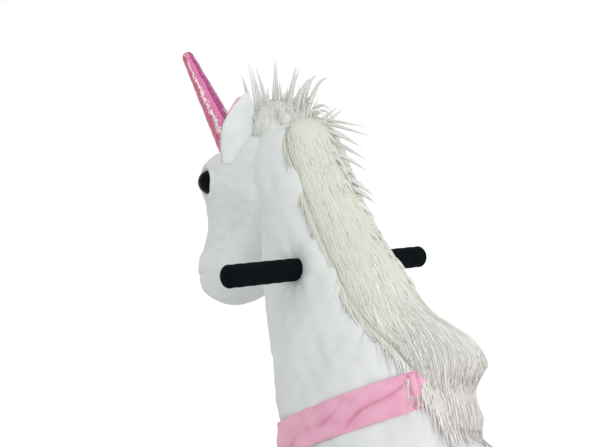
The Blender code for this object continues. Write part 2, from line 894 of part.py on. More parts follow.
def wheel_fork(name, side, centre):
    """Crown and two plates astride a wheel, bored for its axle."""
    outer = fork_side() + fork_plate_thickness
    fork = box(
        name,
        (side - outer, centre - crown_half_length, crown_low),
        (side + outer, centre + crown_half_length, crown_low + crown_thickness),
    )
    for sign in (-1, 1):
        inner_face = side + sign * fork_side()
        outer_face = side + sign * outer
        plate = box(
            "plate",
            (min(inner_face, outer_face), centre - fork_plate_half_length, fork_plate_low),
            (max(inner_face, outer_face), centre + fork_plate_half_length, crown_low + crown_thickness / 2),
        )
        union(fork, plate)
    ends = (side - outer - overrun, side + outer + overrun)
    hole = bar_x("hole", axle_radius + touch, *ends, centre, wheel_radius)
    return cut(fork, hole)


def steering_arm(name, side):
    """A flat arm that points back from an upright axis and carries an upright pin."""
    low = arm_low()
    arm = box(
        name,
        (side - arm_half_width, -arm_length, low),
        (side + arm_half_width, 0.0, low + arm_thickness),
    )
    union(arm, post("round", arm_half_width, low, low + arm_thickness, side, -arm_length))
    pin_high = low + arm_thickness + running + tie_rod_thickness + pin_above
    union(arm, post("pin", pin_radius, low + arm_thickness / 2, pin_high, side, -arm_length))
    return arm


def make_front_fork(name, side, joint):
    """A front wheel fork with its spacer, kingpin and steering arm."""
    fork = wheel_fork(name, side, 0.0)
    spacer_low = crown_low + crown_thickness / 2
    union(fork, post("spacer", spacer_radius, spacer_low, hoof_high - hoof_wall - touch, side))
    arm = steering_arm("arm", side)
    union(fork, post("kingpin", shaft_radius, crown_low + crown_thickness, kingpin_high, side), arm)
    finish(fork, zinc_steel, joint)


def make_axle(name, side, centre, joint):
    """A wheel bolt with a six-sided head and nut outside the fork plates."""
    face = fork_side() + fork_plate_thickness + touch
    end = face + bolt_head_height
    axle = bar_x(name, axle_radius, side - end, side + end, centre, wheel_radius)
    for sign in (-1, 1):
        cap_start = side + sign * face
        cap_end = side + sign * (end - touch)
        union(axle, bar_x("cap", bolt_head_radius, cap_start, cap_end, centre, wheel_radius, hex_sides))
    finish(axle, zinc_steel, joint)


def hoof_rings(side, centre, inset, low, high):
    """Level rings of the hoof's outer or inner face."""
    rings = []
    for level, reach in zip(hoof_level_shares, hoof_reach_shares):
        ring = []
        for step in range(limb_sides):
            angle = 2 * math.pi * (step + 0.5) / limb_sides
            half_width = reach * hoof_half_width - inset
            half_length = reach * hoof_half_length - inset
            up = low + level * (high - low)
            across = side + half_width * math.cos(angle)
            ring.append(place(across, centre + half_length * math.sin(angle), up))
        rings.append(ring)
    return rings


def make_hoof(name, side, centre, hole_radius, joint):
    """A moulded hoof, open below, round its wheel and fork."""
    hoof = loft(name, hoof_rings(side, centre, 0.0, hoof_low, hoof_high))
    room = loft("room", hoof_rings(side, centre, hoof_wall, hoof_low - overrun, hoof_high - hoof_wall))
    low = hoof_high - 2 * hoof_wall
    hole = post("hole", hole_radius + touch, low, hoof_high + overrun, side, centre, fine_sides)
    cut(hoof, room, hole)
    finish(hoof, hoof_plastic, joint)


def make_wheel(place_name, side, centre, joint):
    """A tyre on a webbed hub."""
    inner = wheel_radius - tyre_thickness
    tread = wheel_half_width - tyre_shoulder
    tyre_profile = (
        (inner, -wheel_half_width),
        (wheel_radius - tyre_shoulder, -wheel_half_width),
        (wheel_radius, -tread),
        (wheel_radius, tread),
        (wheel_radius - tyre_shoulder, wheel_half_width),
        (inner, wheel_half_width),
    )
    tyre = turned("tyre_" + place_name, tyre_profile, side, centre, wheel_radius, wheel_sides)
    finish(tyre, black_rubber, joint)
    rim = inner - touch
    step = rim - hub_rim
    bore = axle_radius + running
    half_width = wheel_half_width - touch
    hub_profile = (
        (rim, -half_width),
        (rim, half_width),
        (step, half_width),
        (step, hub_web_side),
        (hub_boss_radius, hub_web_side),
        (hub_boss_radius, half_width),
        (bore, half_width),
        (bore, -half_width),
    )
    hub = turned("hub_" + place_name, hub_profile, side, centre, wheel_radius, wheel_sides)
    finish(hub, grey_nylon, joint)


def make_leg_plush(name, side_sign, centre, brace_reach, joint):
    """A stuffed leg that swells to the thigh and the fetlock, pierced by its tube and brace."""
    rings = []
    rows = zip(leg_level_shares, leg_width_shares, leg_length_shares)
    for level, width, length in rows:
        up = leg_plush_low + level * (leg_plush_high - leg_plush_low)
        side = side_sign * (leg_spacing + level * (leg_top_side - leg_spacing))
        ring = []
        for step in range(limb_sides):
            angle = 2 * math.pi * (step + 0.5) / limb_sides
            across = side + width * leg_plush_half_width * math.cos(angle)
            ring.append(place(across, centre + length * leg_plush_half_length * math.sin(angle), up))
        rings.append(ring)
    leg = loft(name, rings)
    path = [
        place(side_sign * splay_start, centre, cross_height),
        place(side_sign * leg_spacing, centre, splay_low),
        place(side_sign * leg_spacing, centre, crown_low),
    ]
    cut(leg, tube("core", path, leg_tube_radius + touch))
    cut(leg, bar_x("brace", brace_radius + touch, 0.0, side_sign * brace_reach, centre, brace_height))
    finish(leg, white_plush, joint)


def make_footrest(name, sign, joint):
    """A rubber footrest block on the end of the brace."""
    inner, outer = sorted((sign * footrest_inner, sign * handle_half_width))
    rest = box(
        name,
        (inner, -footrest_half_length, brace_height - footrest_below),
        (outer, footrest_half_length, brace_height + footrest_above),
    )
    modifier = rest.modifiers.new("Edges", "BEVEL")
    modifier.width = footrest_bevel
    modifier.segments = 2
    graph = bpy.context.evaluated_depsgraph_get()
    mesh = bpy.data.meshes.new_from_object(rest.evaluated_get(graph))
    rest.modifiers.clear()
    rest.data = mesh
    start = sign * (footrest_inner - overrun)
    end = sign * (handle_half_width - footrest_bevel + touch)
    cut(rest, bar_x("hole", brace_radius + touch, start, end, 0.0, brace_height))
    finish(rest, black_rubber, joint)


def make_steering_shaft(joint):
    """The lower shaft, from its tongue in the column's fork to its arm and pin."""
    shaft = post("steering_shaft", shaft_radius, arm_low(), tongue_low)
    tongue = box(
        "tongue",
        (-tongue_half_width, -tongue_half_length, tongue_low - overrun),
        (tongue_half_width, tongue_half_length, tongue_high),
    )
    union(shaft, tongue, steering_arm("arm", 0.0))
    finish(shaft, zinc_steel, joint)


def make_tie_rod(joint):
    """The bar that joins the three arm pins."""
    low = arm_low() + arm_thickness + running
    high = low + tie_rod_thickness
    reach = leg_spacing + tie_rod_overhang
    rod = box(
        "tie_rod",
        (-reach, -arm_length - tie_rod_half_width, low),
        (reach, -arm_length + tie_rod_half_width, high),
    )
    for side in (-leg_spacing, 0.0, leg_spacing):
        cut(rod, post("hole", pin_radius + pin_clearance, low - overrun, high + overrun, side, -arm_length))
    finish(rod, zinc_steel, joint)


def make_rear_leg_frame(joint):
    """The rear leg frame, whose tubes end in fixed wheel forks."""
    frame = leg_frame("rear_leg_frame", -wheelbase, -1, crown_low + crown_thickness / 2, leg_spacing)
    for sign in (-1, 1):
        union(frame, wheel_fork("fork", sign * leg_spacing, -wheelbase))
    cut_pivot_holes(frame, -wheelbase)
    finish(frame, painted_steel, joint)


def make_column(joint):
    """Steering column: forked foot, tube, collar on the upper bush, and the tee for the handlebar."""
    bush_low = head_tube_low - touch - bush_flange
    column = post("steering_column", fork_head_radius, fork_head_low, bush_low - running, sides=fine_sides)
    slot = box(
        "slot",
        (-fork_slot_half_width, -fork_head_radius - overrun, fork_head_low - overrun),
        (fork_slot_half_width, fork_head_radius + overrun, fork_slot_top),
    )
    cut(column, slot)
    union(column, post("tube", column_radius, fork_slot_top + overrun, handle_height, sides=fine_sides))
    collar_low = head_tube_high + touch + bush_flange + running
    union(column, post("collar", collar_radius, collar_low, collar_low + collar_height, sides=fine_sides))
    union(column, bar_x("tee", tee_radius, -tee_half_length, tee_half_length, 0.0, handle_height, fine_sides))
    reach = tee_half_length + overrun
    cut(column, bar_x("bore", bar_radius + touch, -reach, reach, 0.0, handle_height, fine_sides))
    finish(column, painted_steel, joint)


def make_handlebar(joint):
    end = handle_half_width - bar_end_cover
    finish(bar_x("handlebar_tube", bar_radius, -end, end, 0.0, handle_height, fine_sides), zinc_steel, joint)


def make_grip(name, sign, joint):
    """A closed grip with rounded ends."""
    outer = handle_half_width
    inner = outer - grip_length
    round_shares = (0.0, 0.4, 1.0)
    stations = []
    for share in round_shares:
        angle = share * math.pi / 2
        inset = grip_rounding * (1 - math.sin(angle))
        drop = grip_rounding * (1 - math.cos(angle))
        stations.append((inset, drop))
    path = []
    radii = []
    for inset, drop in stations:
        path.append(place(sign * (outer - drop), 0.0, handle_height))
        radii.append(grip_radius - inset)
    path.reverse()
    radii.reverse()
    front = list(zip(path, radii))
    start = []
    for inset, drop in stations:
        start.append((place(sign * (inner + drop), 0.0, handle_height), grip_radius - inset))
    spots = start + front
    grip = tube(name, [spot for spot, _ in spots], [radius for _, radius in spots], fine_sides)
    hole_end = sign * (handle_half_width - bar_end_cover + touch)
    ends = (sign * (inner - overrun), hole_end)
    cut(grip, bar_x("bore", bar_radius + touch, *ends, 0.0, handle_height, fine_sides))
    finish(grip, black_rubber, joint)


def make_head_bracket(joint):
    finish(tube("head_bracket", bracket_path(), bracket_radius), painted_steel, joint)


def make_neck(joint):
    """The stuffed neck, bored for the column, the tee, the handlebar and the head bracket."""
    neck = neck_solid("neck_plush")
    low = neck_joint_height - overrun
    cut(neck, post("column_room", column_radius + touch, low, handle_height, sides=fine_sides))
    reach = tee_half_length + touch
    cut(neck, bar_x("tee_room", tee_radius + touch, -reach, reach, 0.0, handle_height, fine_sides))
    ends = (-neck_half_width, neck_half_width)
    cut(neck, bar_x("bar_room", bar_radius + touch, *ends, 0.0, handle_height, fine_sides))
    inner = handle_half_width - grip_length - touch
    for sign in (-1, 1):
        end = sign * 2 * neck_half_width
        cut(neck, bar_x("grip_room", grip_radius + touch, sign * inner, end, 0.0, handle_height, fine_sides))
    cut(neck, tube("bracket_room", bracket_path(), bracket_radius + touch))
    finish(neck, white_plush, joint)


def make_head(joint):
    """The stuffed head, cut by the neck behind it."""
    head = cut(head_solid("head_plush"), neck_solid("neck_room", touch))
    cut(head, tube("bracket_room", bracket_path(), bracket_radius + touch))
    finish(head, white_plush, joint)


def make_upper_mane(joint):
    """Long fur over the crest of the turning neck."""
    mane = neck_solid("mane_upper", mane_thickness)
    cut(mane, neck_solid("neck_room", touch, overrun), mane_front_block("front"))
    finish(mane, long_fur, joint)


def make_lower_mane(chassis):
    """The fixed end of the mane on the withers, down to the band's upper edge."""
    mane = neck_foot("mane_lower", mane_thickness)
    cut(mane, neck_foot("foot_room", touch, overrun), barrel_solid("barrel_room", touch))
    cut(mane, mane_front_block("front"))
    reach = saddle_front - running
    outline = (
        (horn_reach, band_top(horn_reach) + running),
        (-tail_reach, band_top(-tail_reach) + running),
        (-tail_reach, pivot_height / 2),
        (horn_reach, pivot_height / 2),
    )
    cut(mane, profile_block("below", outline, saddle_half_width))
    behind = box(
        "behind",
        (-saddle_half_width, -tail_reach, pivot_height),
        (saddle_half_width, -reach, horn_height),
    )
    cut(mane, behind)
    finish(mane, long_fur, chassis)


def make_tuft(joint):
    """The standing tuft between the ears: a dome with spikes."""
    root = neck_joint_height + neck_height - mane_thickness / 2
    base_rings = []
    dome_shares = ((0.0, 1.0), (0.35, 0.97), (0.7, 0.75))
    for rise, width in dome_shares:
        centre = place(0.0, tuft_forward, root + rise * tuft_radius)
        radius = width * tuft_radius
        base_rings.append(circle(centre, Vector((1, 0, 0)), Vector((0, 1, 0)), radius, tube_sides))
    tuft = loft("forelock", base_rings, None, place(0.0, tuft_forward, root + tuft_radius))
    for rise, ahead, side in zip(tuft_rise_shares, tuft_forward_shares, tuft_side_shares):
        foot_side = tuft_foot_side_share * side * tuft_radius
        foot_forward = tuft_forward + tuft_foot_forward_share * ahead * tuft_radius
        foot = place(foot_side, foot_forward, root + tuft_foot_rise_share * tuft_radius)
        tip_height = root + rise * (tuft_height - root)
        tip = place(side * tuft_radius, tuft_forward + ahead * tuft_radius, tip_height)
        direction = (tip - foot).normalized()
        across = direction.orthogonal().normalized()
        ring = circle(foot, across, direction.cross(across), tuft_spike_radius, spike_sides)
        union(tuft, cone(ring, tip))
    cut(tuft, neck_solid("neck_room", touch), head_solid("head_room", touch))
    finish(tuft, long_fur, joint)


def cone(ring, tip):
    """A closed cone from a ring to a tip."""
    maker = bmesh.new()
    foot = [maker.verts.new(point) for point in ring]
    peak = maker.verts.new(tip)
    maker.faces.new(foot)
    for index in range(len(foot)):
        maker.faces.new((foot[index], foot[(index + 1) % len(foot)], peak))
    return solid_from(maker, "cone")


def make_tail(chassis):
    """The hanging tail, swelling and tapering, set against the rump."""
    rings = []
    rows = list(zip(tail_back_shares, tail_drop_shares, tail_radius_shares))
    centres = [place(0.0, -back * tail_reach, tail_root_height - drop * tail_drop) for back, drop, _ in rows]
    for index, (_, _, radius) in enumerate(rows):
        before = centres[max(index - 1, 0)]
        after = centres[min(index + 1, len(centres) - 1)]
        along = (after - before).normalized()
        side = Vector((1, 0, 0))
        rings.append(circle(centres[index], side, along.cross(side), radius * tail_radius, tube_sides))
    tail = loft("tail", rings)
    cut(tail, barrel_solid("barrel_room", touch))
    finish(tail, long_fur, chassis)


def make_horn(joint):
    """A tapered stuffed horn with a rounded tip, seated on the forehead."""
    tip = place(0.0, horn_reach - horn_tip_radius, horn_height - horn_tip_radius)
    foot = place(0.0, horn_root_forward, horn_root_height)
    along = (tip - foot).normalized()
    cap_shares = ((0.0, 1.0), (0.5, 0.866), (0.866, 0.5))
    path = [foot]
    radii = [horn_root_radius]
    for rise, width in cap_shares:
        path.append(tip + rise * horn_tip_radius * along)
        radii.append(width * horn_tip_radius)
    side = Vector((1, 0, 0))
    rings = [circle(spot, side, along.cross(side), radius, fine_sides) for spot, radius in zip(path, radii)]
    horn = loft("horn", rings, None, tip + horn_tip_radius * along)
    cut(horn, head_solid("head_room", touch))
    finish(horn, pink_film, joint)


def ear_frame(sign):
    """Foot, direction along the ear, direction across it and the way its hollow faces."""
    foot = place(sign * ear_side, ear_forward, ear_root_height)
    along = Vector((sign * ear_lean_out, ear_lean_back, ear_length)).normalized()
    facing = Vector((sign * math.sin(ear_turn), -math.cos(ear_turn), 0))
    facing = (facing - facing.dot(along) * along).normalized()
    across = along.cross(facing)
    return foot, along, across, facing


def make_ears(joint):
    """Leaf-shaped ears, flat in front."""
    for name, sign in (("ear_left", 1), ("ear_right", -1)):
        foot, along, across, facing = ear_frame(sign)
        back_rings = []
        for level, width in zip(ear_level_shares, ear_width_shares):
            centre = foot + level * ear_length * along
            half = width * ear_half_width
            depth = width * ear_thickness
            ring = [centre + half * across, centre - half * across]
            for step in range(1, ear_back_points + 1):
                angle = math.pi * step / (ear_back_points + 1)
                ring.append(centre - half * math.cos(angle) * across - depth * math.sin(angle) * facing)
            back_rings.append(ring)
        ear = loft(name, back_rings)
        cut(ear, head_solid("head_room", touch), neck_solid("neck_room", touch))
        finish(ear, white_plush, joint)


def make_eye(name, sign, joint):
    """A domed eye that stands out of the head."""
    centre = place(sign * eye_side, eye_forward, eye_height)
    maker = bmesh.new()
    bmesh.ops.create_uvsphere(maker, u_segments=eye_segments, v_segments=eye_segments // 2, radius=eye_radius)
    bmesh.ops.translate(maker, verts=maker.verts, vec=centre)
    eye = solid_from(maker, name)
    cut(eye, head_solid("head_room", touch))
    finish(eye, black_eye, joint)


def make_saddle(chassis):
    """The padded seat with its raised front and back, on the barrel."""
    rings = []
    rows = zip(saddle_place_shares, saddle_rise_shares, saddle_width_shares)
    for along, rise, width in rows:
        forward = -saddle_front - along * saddle_length
        height = rise * (saddle_seat_height - saddle_centre_height)
        ring = upright_ring(forward, saddle_centre_height, width * saddle_half_width, height, barrel_fullness)
        rings.append(ring)
    saddle = loft("saddle_seat", rings)
    below = box(
        "below",
        (-tail_reach, -tail_reach, pivot_height / 2),
        (tail_reach, horn_reach, saddle_low),
    )
    cut(saddle, below, barrel_solid("cloth_room", cloth_thickness + touch))
    finish(saddle, pink_satin, chassis)


def make_saddle_cloth(chassis):
    """The sheet over the back whose two ends hang as side flaps."""
    cloth = barrel_solid("saddle_cloth", cloth_thickness)
    cut(cloth, barrel_solid("barrel_room", touch))
    rear = saddle_front + cloth_rear_share * saddle_length
    outline = (
        (-saddle_front, horn_height),
        (-rear, horn_height),
        (-rear, saddle_low),
        (-rear + flap_slant, flap_low),
        (-saddle_front - flap_slant, flap_low),
        (-saddle_front, saddle_low),
    )
    limit(cloth, profile_block("outline", outline, 2 * saddle_half_width))
    finish(cloth, pink_satin, chassis)


def make_band(chassis):
    """The band from the saddle's front round the chest."""
    band = union(barrel_solid("breast_band", band_thickness), neck_foot("foot", band_thickness))
    cut(band, barrel_solid("barrel_room", touch), neck_foot("foot_room", touch, overrun))
    front = neck_front
    rear = -saddle_front + running
    outline = (
        (front, band_top(front)),
        (rear, band_top(rear)),
        (rear, band_top(rear) - band_width),
        (front, band_top(front) - band_width),
    )
    limit(band, profile_block("outline", outline, 2 * saddle_half_width))
    finish(band, pink_satin, chassis)


def clear_scene():
    for thing in list(bpy.data.objects):
        bpy.data.objects.remove(thing)


def build():
    """Every body's joint, then its pieces."""
    clear_scene()
    chassis = joint_at("chassis", 0.0, steer_y, 0.0)
    steering = joint_at("steering", 0.0, 0.0, handle_height)
    front_legs = joint_at("front_legs", 0.0, 0.0, pivot_height)
    rear_legs = joint_at("rear_legs", 0.0, -wheelbase, pivot_height)
    shaft = joint_at("lower_shaft", 0.0, 0.0, brace_height)
    rod = joint_at("tie_rod_pin", 0.0, -arm_length, arm_low())

    make_body_frame(chassis)
    make_seat_board(chassis)
    make_pivots(chassis)
    make_head_tube_liner(chassis)
    make_stop_buffer("stop_buffer_front", 0.0, 1, chassis)
    make_stop_buffer("stop_buffer_rear", -wheelbase, -1, chassis)
    make_spring("front_spring", -spring_arm, chassis)
    make_spring("rear_spring", -wheelbase + spring_arm, chassis)
    make_body(chassis)
    make_saddle(chassis)
    make_saddle_cloth(chassis)
    make_band(chassis)
    make_lower_mane(chassis)
    make_tail(chassis)

    make_column(steering)
    make_handlebar(steering)
    make_grip("grip_left", 1, steering)
    make_grip("grip_right", -1, steering)
    make_head_bracket(steering)
    make_neck(steering)
    make_head(steering)
    make_upper_mane(steering)
    make_tuft(steering)
    make_horn(steering)
    make_ears(steering)
    make_eye("eye_left", 1, steering)
    make_eye("eye_right", -1, steering)

    make_front_leg_frame(front_legs)
    make_shaft_bush(front_legs)
    make_steering_shaft(shaft)
    make_tie_rod(rod)
    make_rear_leg_frame(rear_legs)
    for word, sign in (("left", 1), ("right", -1)):
        side = sign * leg_spacing
        make_leg_plush("front_leg_plush_" + word, sign, 0.0, handle_half_width, front_legs)
        make_footrest("footrest_" + word, sign, front_legs)
        kingpin = joint_at("kingpin_" + word, side, 0.0, arm_low())
        make_front_fork("front_fork_" + word, side, kingpin)
        make_hoof("hoof_front_" + word, side, 0.0, shaft_radius, kingpin)
        make_axle("front_axle_" + word, side, 0.0, kingpin)
        front_wheel = joint_at("wheel_front_" + word, side, 0.0, wheel_radius)
        make_wheel("front_" + word, side, 0.0, front_wheel)
        make_leg_plush("rear_leg_plush_" + word, sign, -wheelbase, leg_spacing + touch, rear_legs)
        make_hoof("hoof_rear_" + word, side, -wheelbase, leg_tube_radius, rear_legs)
        make_axle("rear_axle_" + word, side, -wheelbase, rear_legs)
        rear_wheel = joint_at("wheel_rear_" + word, side, -wheelbase, wheel_radius)
        make_wheel("rear_" + word, side, -wheelbase, rear_wheel)


build()
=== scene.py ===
"""The looks of a stuffed walking ride-on with a horn and a long mane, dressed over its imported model.

Shapes are worked out in the toy's own directions: left of the middle, ahead of the steering axis and
above the floor, all in metres.
"""
import json
import math

import bpy
import numpy as np
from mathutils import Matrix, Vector


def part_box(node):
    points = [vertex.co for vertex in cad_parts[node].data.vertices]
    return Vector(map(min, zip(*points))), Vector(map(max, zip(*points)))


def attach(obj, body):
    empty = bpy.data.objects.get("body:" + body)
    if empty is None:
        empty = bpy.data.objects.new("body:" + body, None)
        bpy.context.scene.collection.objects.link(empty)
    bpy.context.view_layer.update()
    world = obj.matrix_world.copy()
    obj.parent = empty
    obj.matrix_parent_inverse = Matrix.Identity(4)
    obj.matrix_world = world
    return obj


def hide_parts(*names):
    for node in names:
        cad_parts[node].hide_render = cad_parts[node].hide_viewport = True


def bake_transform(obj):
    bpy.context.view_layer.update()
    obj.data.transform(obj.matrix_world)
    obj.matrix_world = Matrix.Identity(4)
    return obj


bl_info = {
    "name": "Stuffed walking ride-on",
    "version": (1, 0, 0),
    "blender": (4, 5, 0),
    "location": "3D View > Sidebar > Ride-on",
    "description": "Plush, hair, satin and moulded pieces of a walking ride-on, fitted to its frame",
    "category": "Object",
}

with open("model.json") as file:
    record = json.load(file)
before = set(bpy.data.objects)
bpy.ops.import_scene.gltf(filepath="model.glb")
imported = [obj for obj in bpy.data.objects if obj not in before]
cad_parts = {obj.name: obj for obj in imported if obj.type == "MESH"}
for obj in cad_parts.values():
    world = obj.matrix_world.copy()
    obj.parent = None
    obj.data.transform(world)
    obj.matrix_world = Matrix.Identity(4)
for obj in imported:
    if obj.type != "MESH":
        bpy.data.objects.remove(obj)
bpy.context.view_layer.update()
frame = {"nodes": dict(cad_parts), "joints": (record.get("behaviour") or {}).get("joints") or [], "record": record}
joint_spots = {joint["name"]: joint["pos_m"] for joint in frame["joints"]}
axis_y = joint_spots["steer"][1]
handle_height = joint_spots["steer"][2]
wheelbase = joint_spots["rear_swing"][1] - axis_y
full_turn = 2 * math.pi
both_sides = (("left", 1), ("right", -1))
both_ends = (("front", 0.0), ("rear", -wheelbase))


# Mathematics of the surfaces


def to_frame(points):
    """Points from (left, ahead, up) to the frame: x is left, y runs backwards from the steering axis."""
    points = np.asarray(points, float)
    return np.stack([points[..., 0], axis_y - points[..., 1], points[..., 2]], -1)


def smoothstep(values, low, high):
    """0 up to low, 1 from high, and the cubic 3t^2 - 2t^3 between them."""
    part = np.clip((values - low) / (high - low), 0.0, 1.0)
    return part * part * (3 - 2 * part)


def bell(distance, reach):
    """Height 1 at no distance, falling as exp(-(distance / reach)^2)."""
    return np.exp(-((distance / reach) ** 2))


def waves(points, size, seed):
    """Soft lumps between about -1 and 1: a sum of plane waves of about one wavelength, in all directions."""
    count = 14
    draw = np.random.default_rng(seed)
    ways = draw.normal(size=(count, 3))
    ways /= np.linalg.norm(ways, axis=1)[:, None]
    ways *= draw.uniform(0.75, 1.35, (count, 1)) * full_turn / size
    starts = draw.uniform(0, full_turn, count)
    return np.sin(np.asarray(points) @ ways.T + starts).sum(-1) / math.sqrt(count / 2)


def smooth(knots, rows, at):
    """Rows joined by cubic curves, whose slope at a knot is that of the parabola through its neighbours."""
    gap = np.diff(knots)[:, None]
    rise = np.diff(rows, axis=0) / gap
    inner = (gap[1:] * rise[:-1] + gap[:-1] * rise[1:]) / (gap[1:] + gap[:-1])
    slope = np.vstack([rise[:1], inner, rise[-1:]])
    at = np.clip(at, knots[0], knots[-1])
    index = np.clip(np.searchsorted(knots, at, side="right") - 1, 0, len(knots) - 2)
    step = (knots[index + 1] - knots[index])[..., None]
    part = (at - knots[index])[..., None] / step
    rest = 1 - part
    ends = (1 + 2 * part) * rest**2 * rows[index] + part**2 * (3 - 2 * part) * rows[index + 1]
    return ends + step * (part * rest**2 * slope[index] - part**2 * rest * slope[index + 1])


def superellipse(angle, fullness):
    """Distance from the middle to the curve |x|^n + |y|^n = 1 in a direction."""
    return (np.abs(np.cos(angle)) ** fullness + np.abs(np.sin(angle)) ** fullness) ** (-1 / fullness)


def row_steps(count):
    """Middles of equal steps from 0 to 1, as a column: one for each row of a grid."""
    return ((np.arange(count) + 0.5) / count)[:, None]


def ring_angles(count, start=0.0):
    """Equal steps round a full turn, as a row: one for each column of a grid, from start steps on."""
    return (full_turn * (np.arange(count) + start) / count)[None]


class Form:
    """A stuffed form skinned over flat, slanted rings.

    A row gives a ring's first end (ahead, up), its second end (ahead, up), its half width, its fullness at
    each end, how much wider its first end is, and its middle's distance to the left. A point at round angle t
    lies at middle + half * r cos t along the ring and width * (1 + egg cos t) r sin t to the left, with r
    from the superellipse. The first and last rows are poles, and the rows are joined by cubic curves.
    """

    def __init__(self, rows):
        rows = np.array([row if len(row) == 9 else (*row, 0.0) for row in rows], float)
        steps = []
        for column in (0, 2):
            steps.append(np.linalg.norm(np.diff(rows[:, column:column + 2], axis=0), axis=1))
        lengths = sum(steps) / 2
        places = np.concatenate([[0.0], np.cumsum(lengths)])
        self.length = places[-1]
        before = 2 * places[0] - places[1]
        after = 2 * places[-1] - places[-2]
        self.knots = np.concatenate([[before], places, [after]]) / self.length
        self.rows = np.vstack([self.beyond(rows[1]), rows, self.beyond(rows[-2])])
        middle = np.array([0.5])
        lean = self.raw_normals(middle, middle * 0)[0]
        ring = self.points(middle, middle * 0) - self.middles(middle)
        self.turn = 1.0 if lean @ ring[0] > 0 else -1.0

    @staticmethod
    def beyond(row):
        """The row next to a pole, seen from the pole's other side, which keeps the pole round."""
        mirrored = row.copy()
        mirrored[0:2], mirrored[2:4] = row[2:4], row[0:2]
        mirrored[4] = -row[4]
        return mirrored

    def middles(self, s):
        """Middle of the ring at each place along the form."""
        row = smooth(self.knots, self.rows, np.asarray(s, float))
        return np.stack([row[..., 8], (row[..., 0] + row[..., 2]) / 2, (row[..., 1] + row[..., 3]) / 2], -1)

    def points(self, s, t):
        """Points at places s along the form and angles t round it."""
        s, t = np.broadcast_arrays(np.asarray(s, float), np.asarray(t, float))
        row = smooth(self.knots, self.rows, s)
        near = np.cos(t)
        fullness = row[..., 6] + (row[..., 5] - row[..., 6]) * (1 + near) / 2
        reach = superellipse(t, fullness)
        ahead = (row[..., 0] + row[..., 2] + (row[..., 0] - row[..., 2]) * reach * near) / 2
        up = (row[..., 1] + row[..., 3] + (row[..., 1] - row[..., 3]) * reach * near) / 2
        left = row[..., 8] + row[..., 4] * (1 + row[..., 7] * near) * reach * np.sin(t)
        return np.stack([left, ahead, up], -1)

    def raw_normals(self, s, t):
        """Unit normals from the cross product of the two ways along the surface."""
        small = 1e-3
        s = np.clip(s, 2 * small, 1 - 2 * small)
        along = self.points(s + small, t) - self.points(s - small, t)
        around = self.points(s, t + small) - self.points(s, t - small)
        normal = np.cross(around, along)
        return normal / np.maximum(np.linalg.norm(normal, axis=-1, keepdims=True), 1e-12)

    def normals(self, s, t):
        """Unit normals that point out of the form."""
        return self.turn * self.raw_normals(*np.broadcast_arrays(np.asarray(s, float), np.asarray(t, float)))

    def above(self, s, t, height):
        """Points at a height over the skin."""
        return self.points(s, t) + self.normals(s, t) * np.asarray(height)[..., None]

    def pace(self, s, t):
        """Metres along the skin for one whole s, at each place."""
        small = 1e-3
        return np.linalg.norm(self.points(s + small, t) - self.points(s - small, t), axis=-1) / (2 * small)

    def find(self, t, target, measure, low, high):
        """The s between low and high at which measure(point) reaches target, by halving."""
        t, target = np.broadcast_arrays(t, target)
        first = np.full(t.shape, float(low))
        last = np.full(t.shape, float(high))
        for _ in range(28):
            middle = (first + last) / 2
            short = measure(self.points(middle, t)) < target
            first = np.where(short, middle, first)
            last = np.where(short, last, middle)
        return (first + last) / 2


# Meshes


def mesh_object(name, points, faces, corners=None):
    """An object in the frame from points in the toy's directions, lists of faces, and UV corners."""
    mesh = bpy.data.meshes.new(name)
    mesh.from_pydata(to_frame(points).tolist(), [], [face for group in faces for face in group.tolist()])
    if corners is not None:
        layer = mesh.uv_layers.new(name="UVMap")
        spread = np.concatenate([part.reshape(-1) for part in corners])
        layer.data.foreach_set("uv", spread.astype(np.float32))
    mesh.shade_smooth()
    mesh.update()
    piece = bpy.data.objects.new(name, mesh)
    bpy.context.scene.collection.objects.link(piece)
    return piece


def face_outwards(piece):
    """Turns a closed mesh's faces round where the volume that they enclose comes out negative."""
    mesh = piece.data
    spots = np.zeros(len(mesh.vertices) * 3)
    mesh.vertices.foreach_get("co", spots)
    spots = spots.reshape(-1, 3) - spots.reshape(-1, 3).mean(0)
    mesh.calc_loop_triangles()
    corners = np.zeros(len(mesh.loop_triangles) * 3, np.int32)
    mesh.loop_triangles.foreach_get("vertices", corners)
    a, b, c = spots[corners.reshape(-1, 3)].transpose(1, 0, 2)
    if np.einsum("ij,ij->", a, np.cross(b, c)) < 0:
        mesh.flip_normals()
    return piece


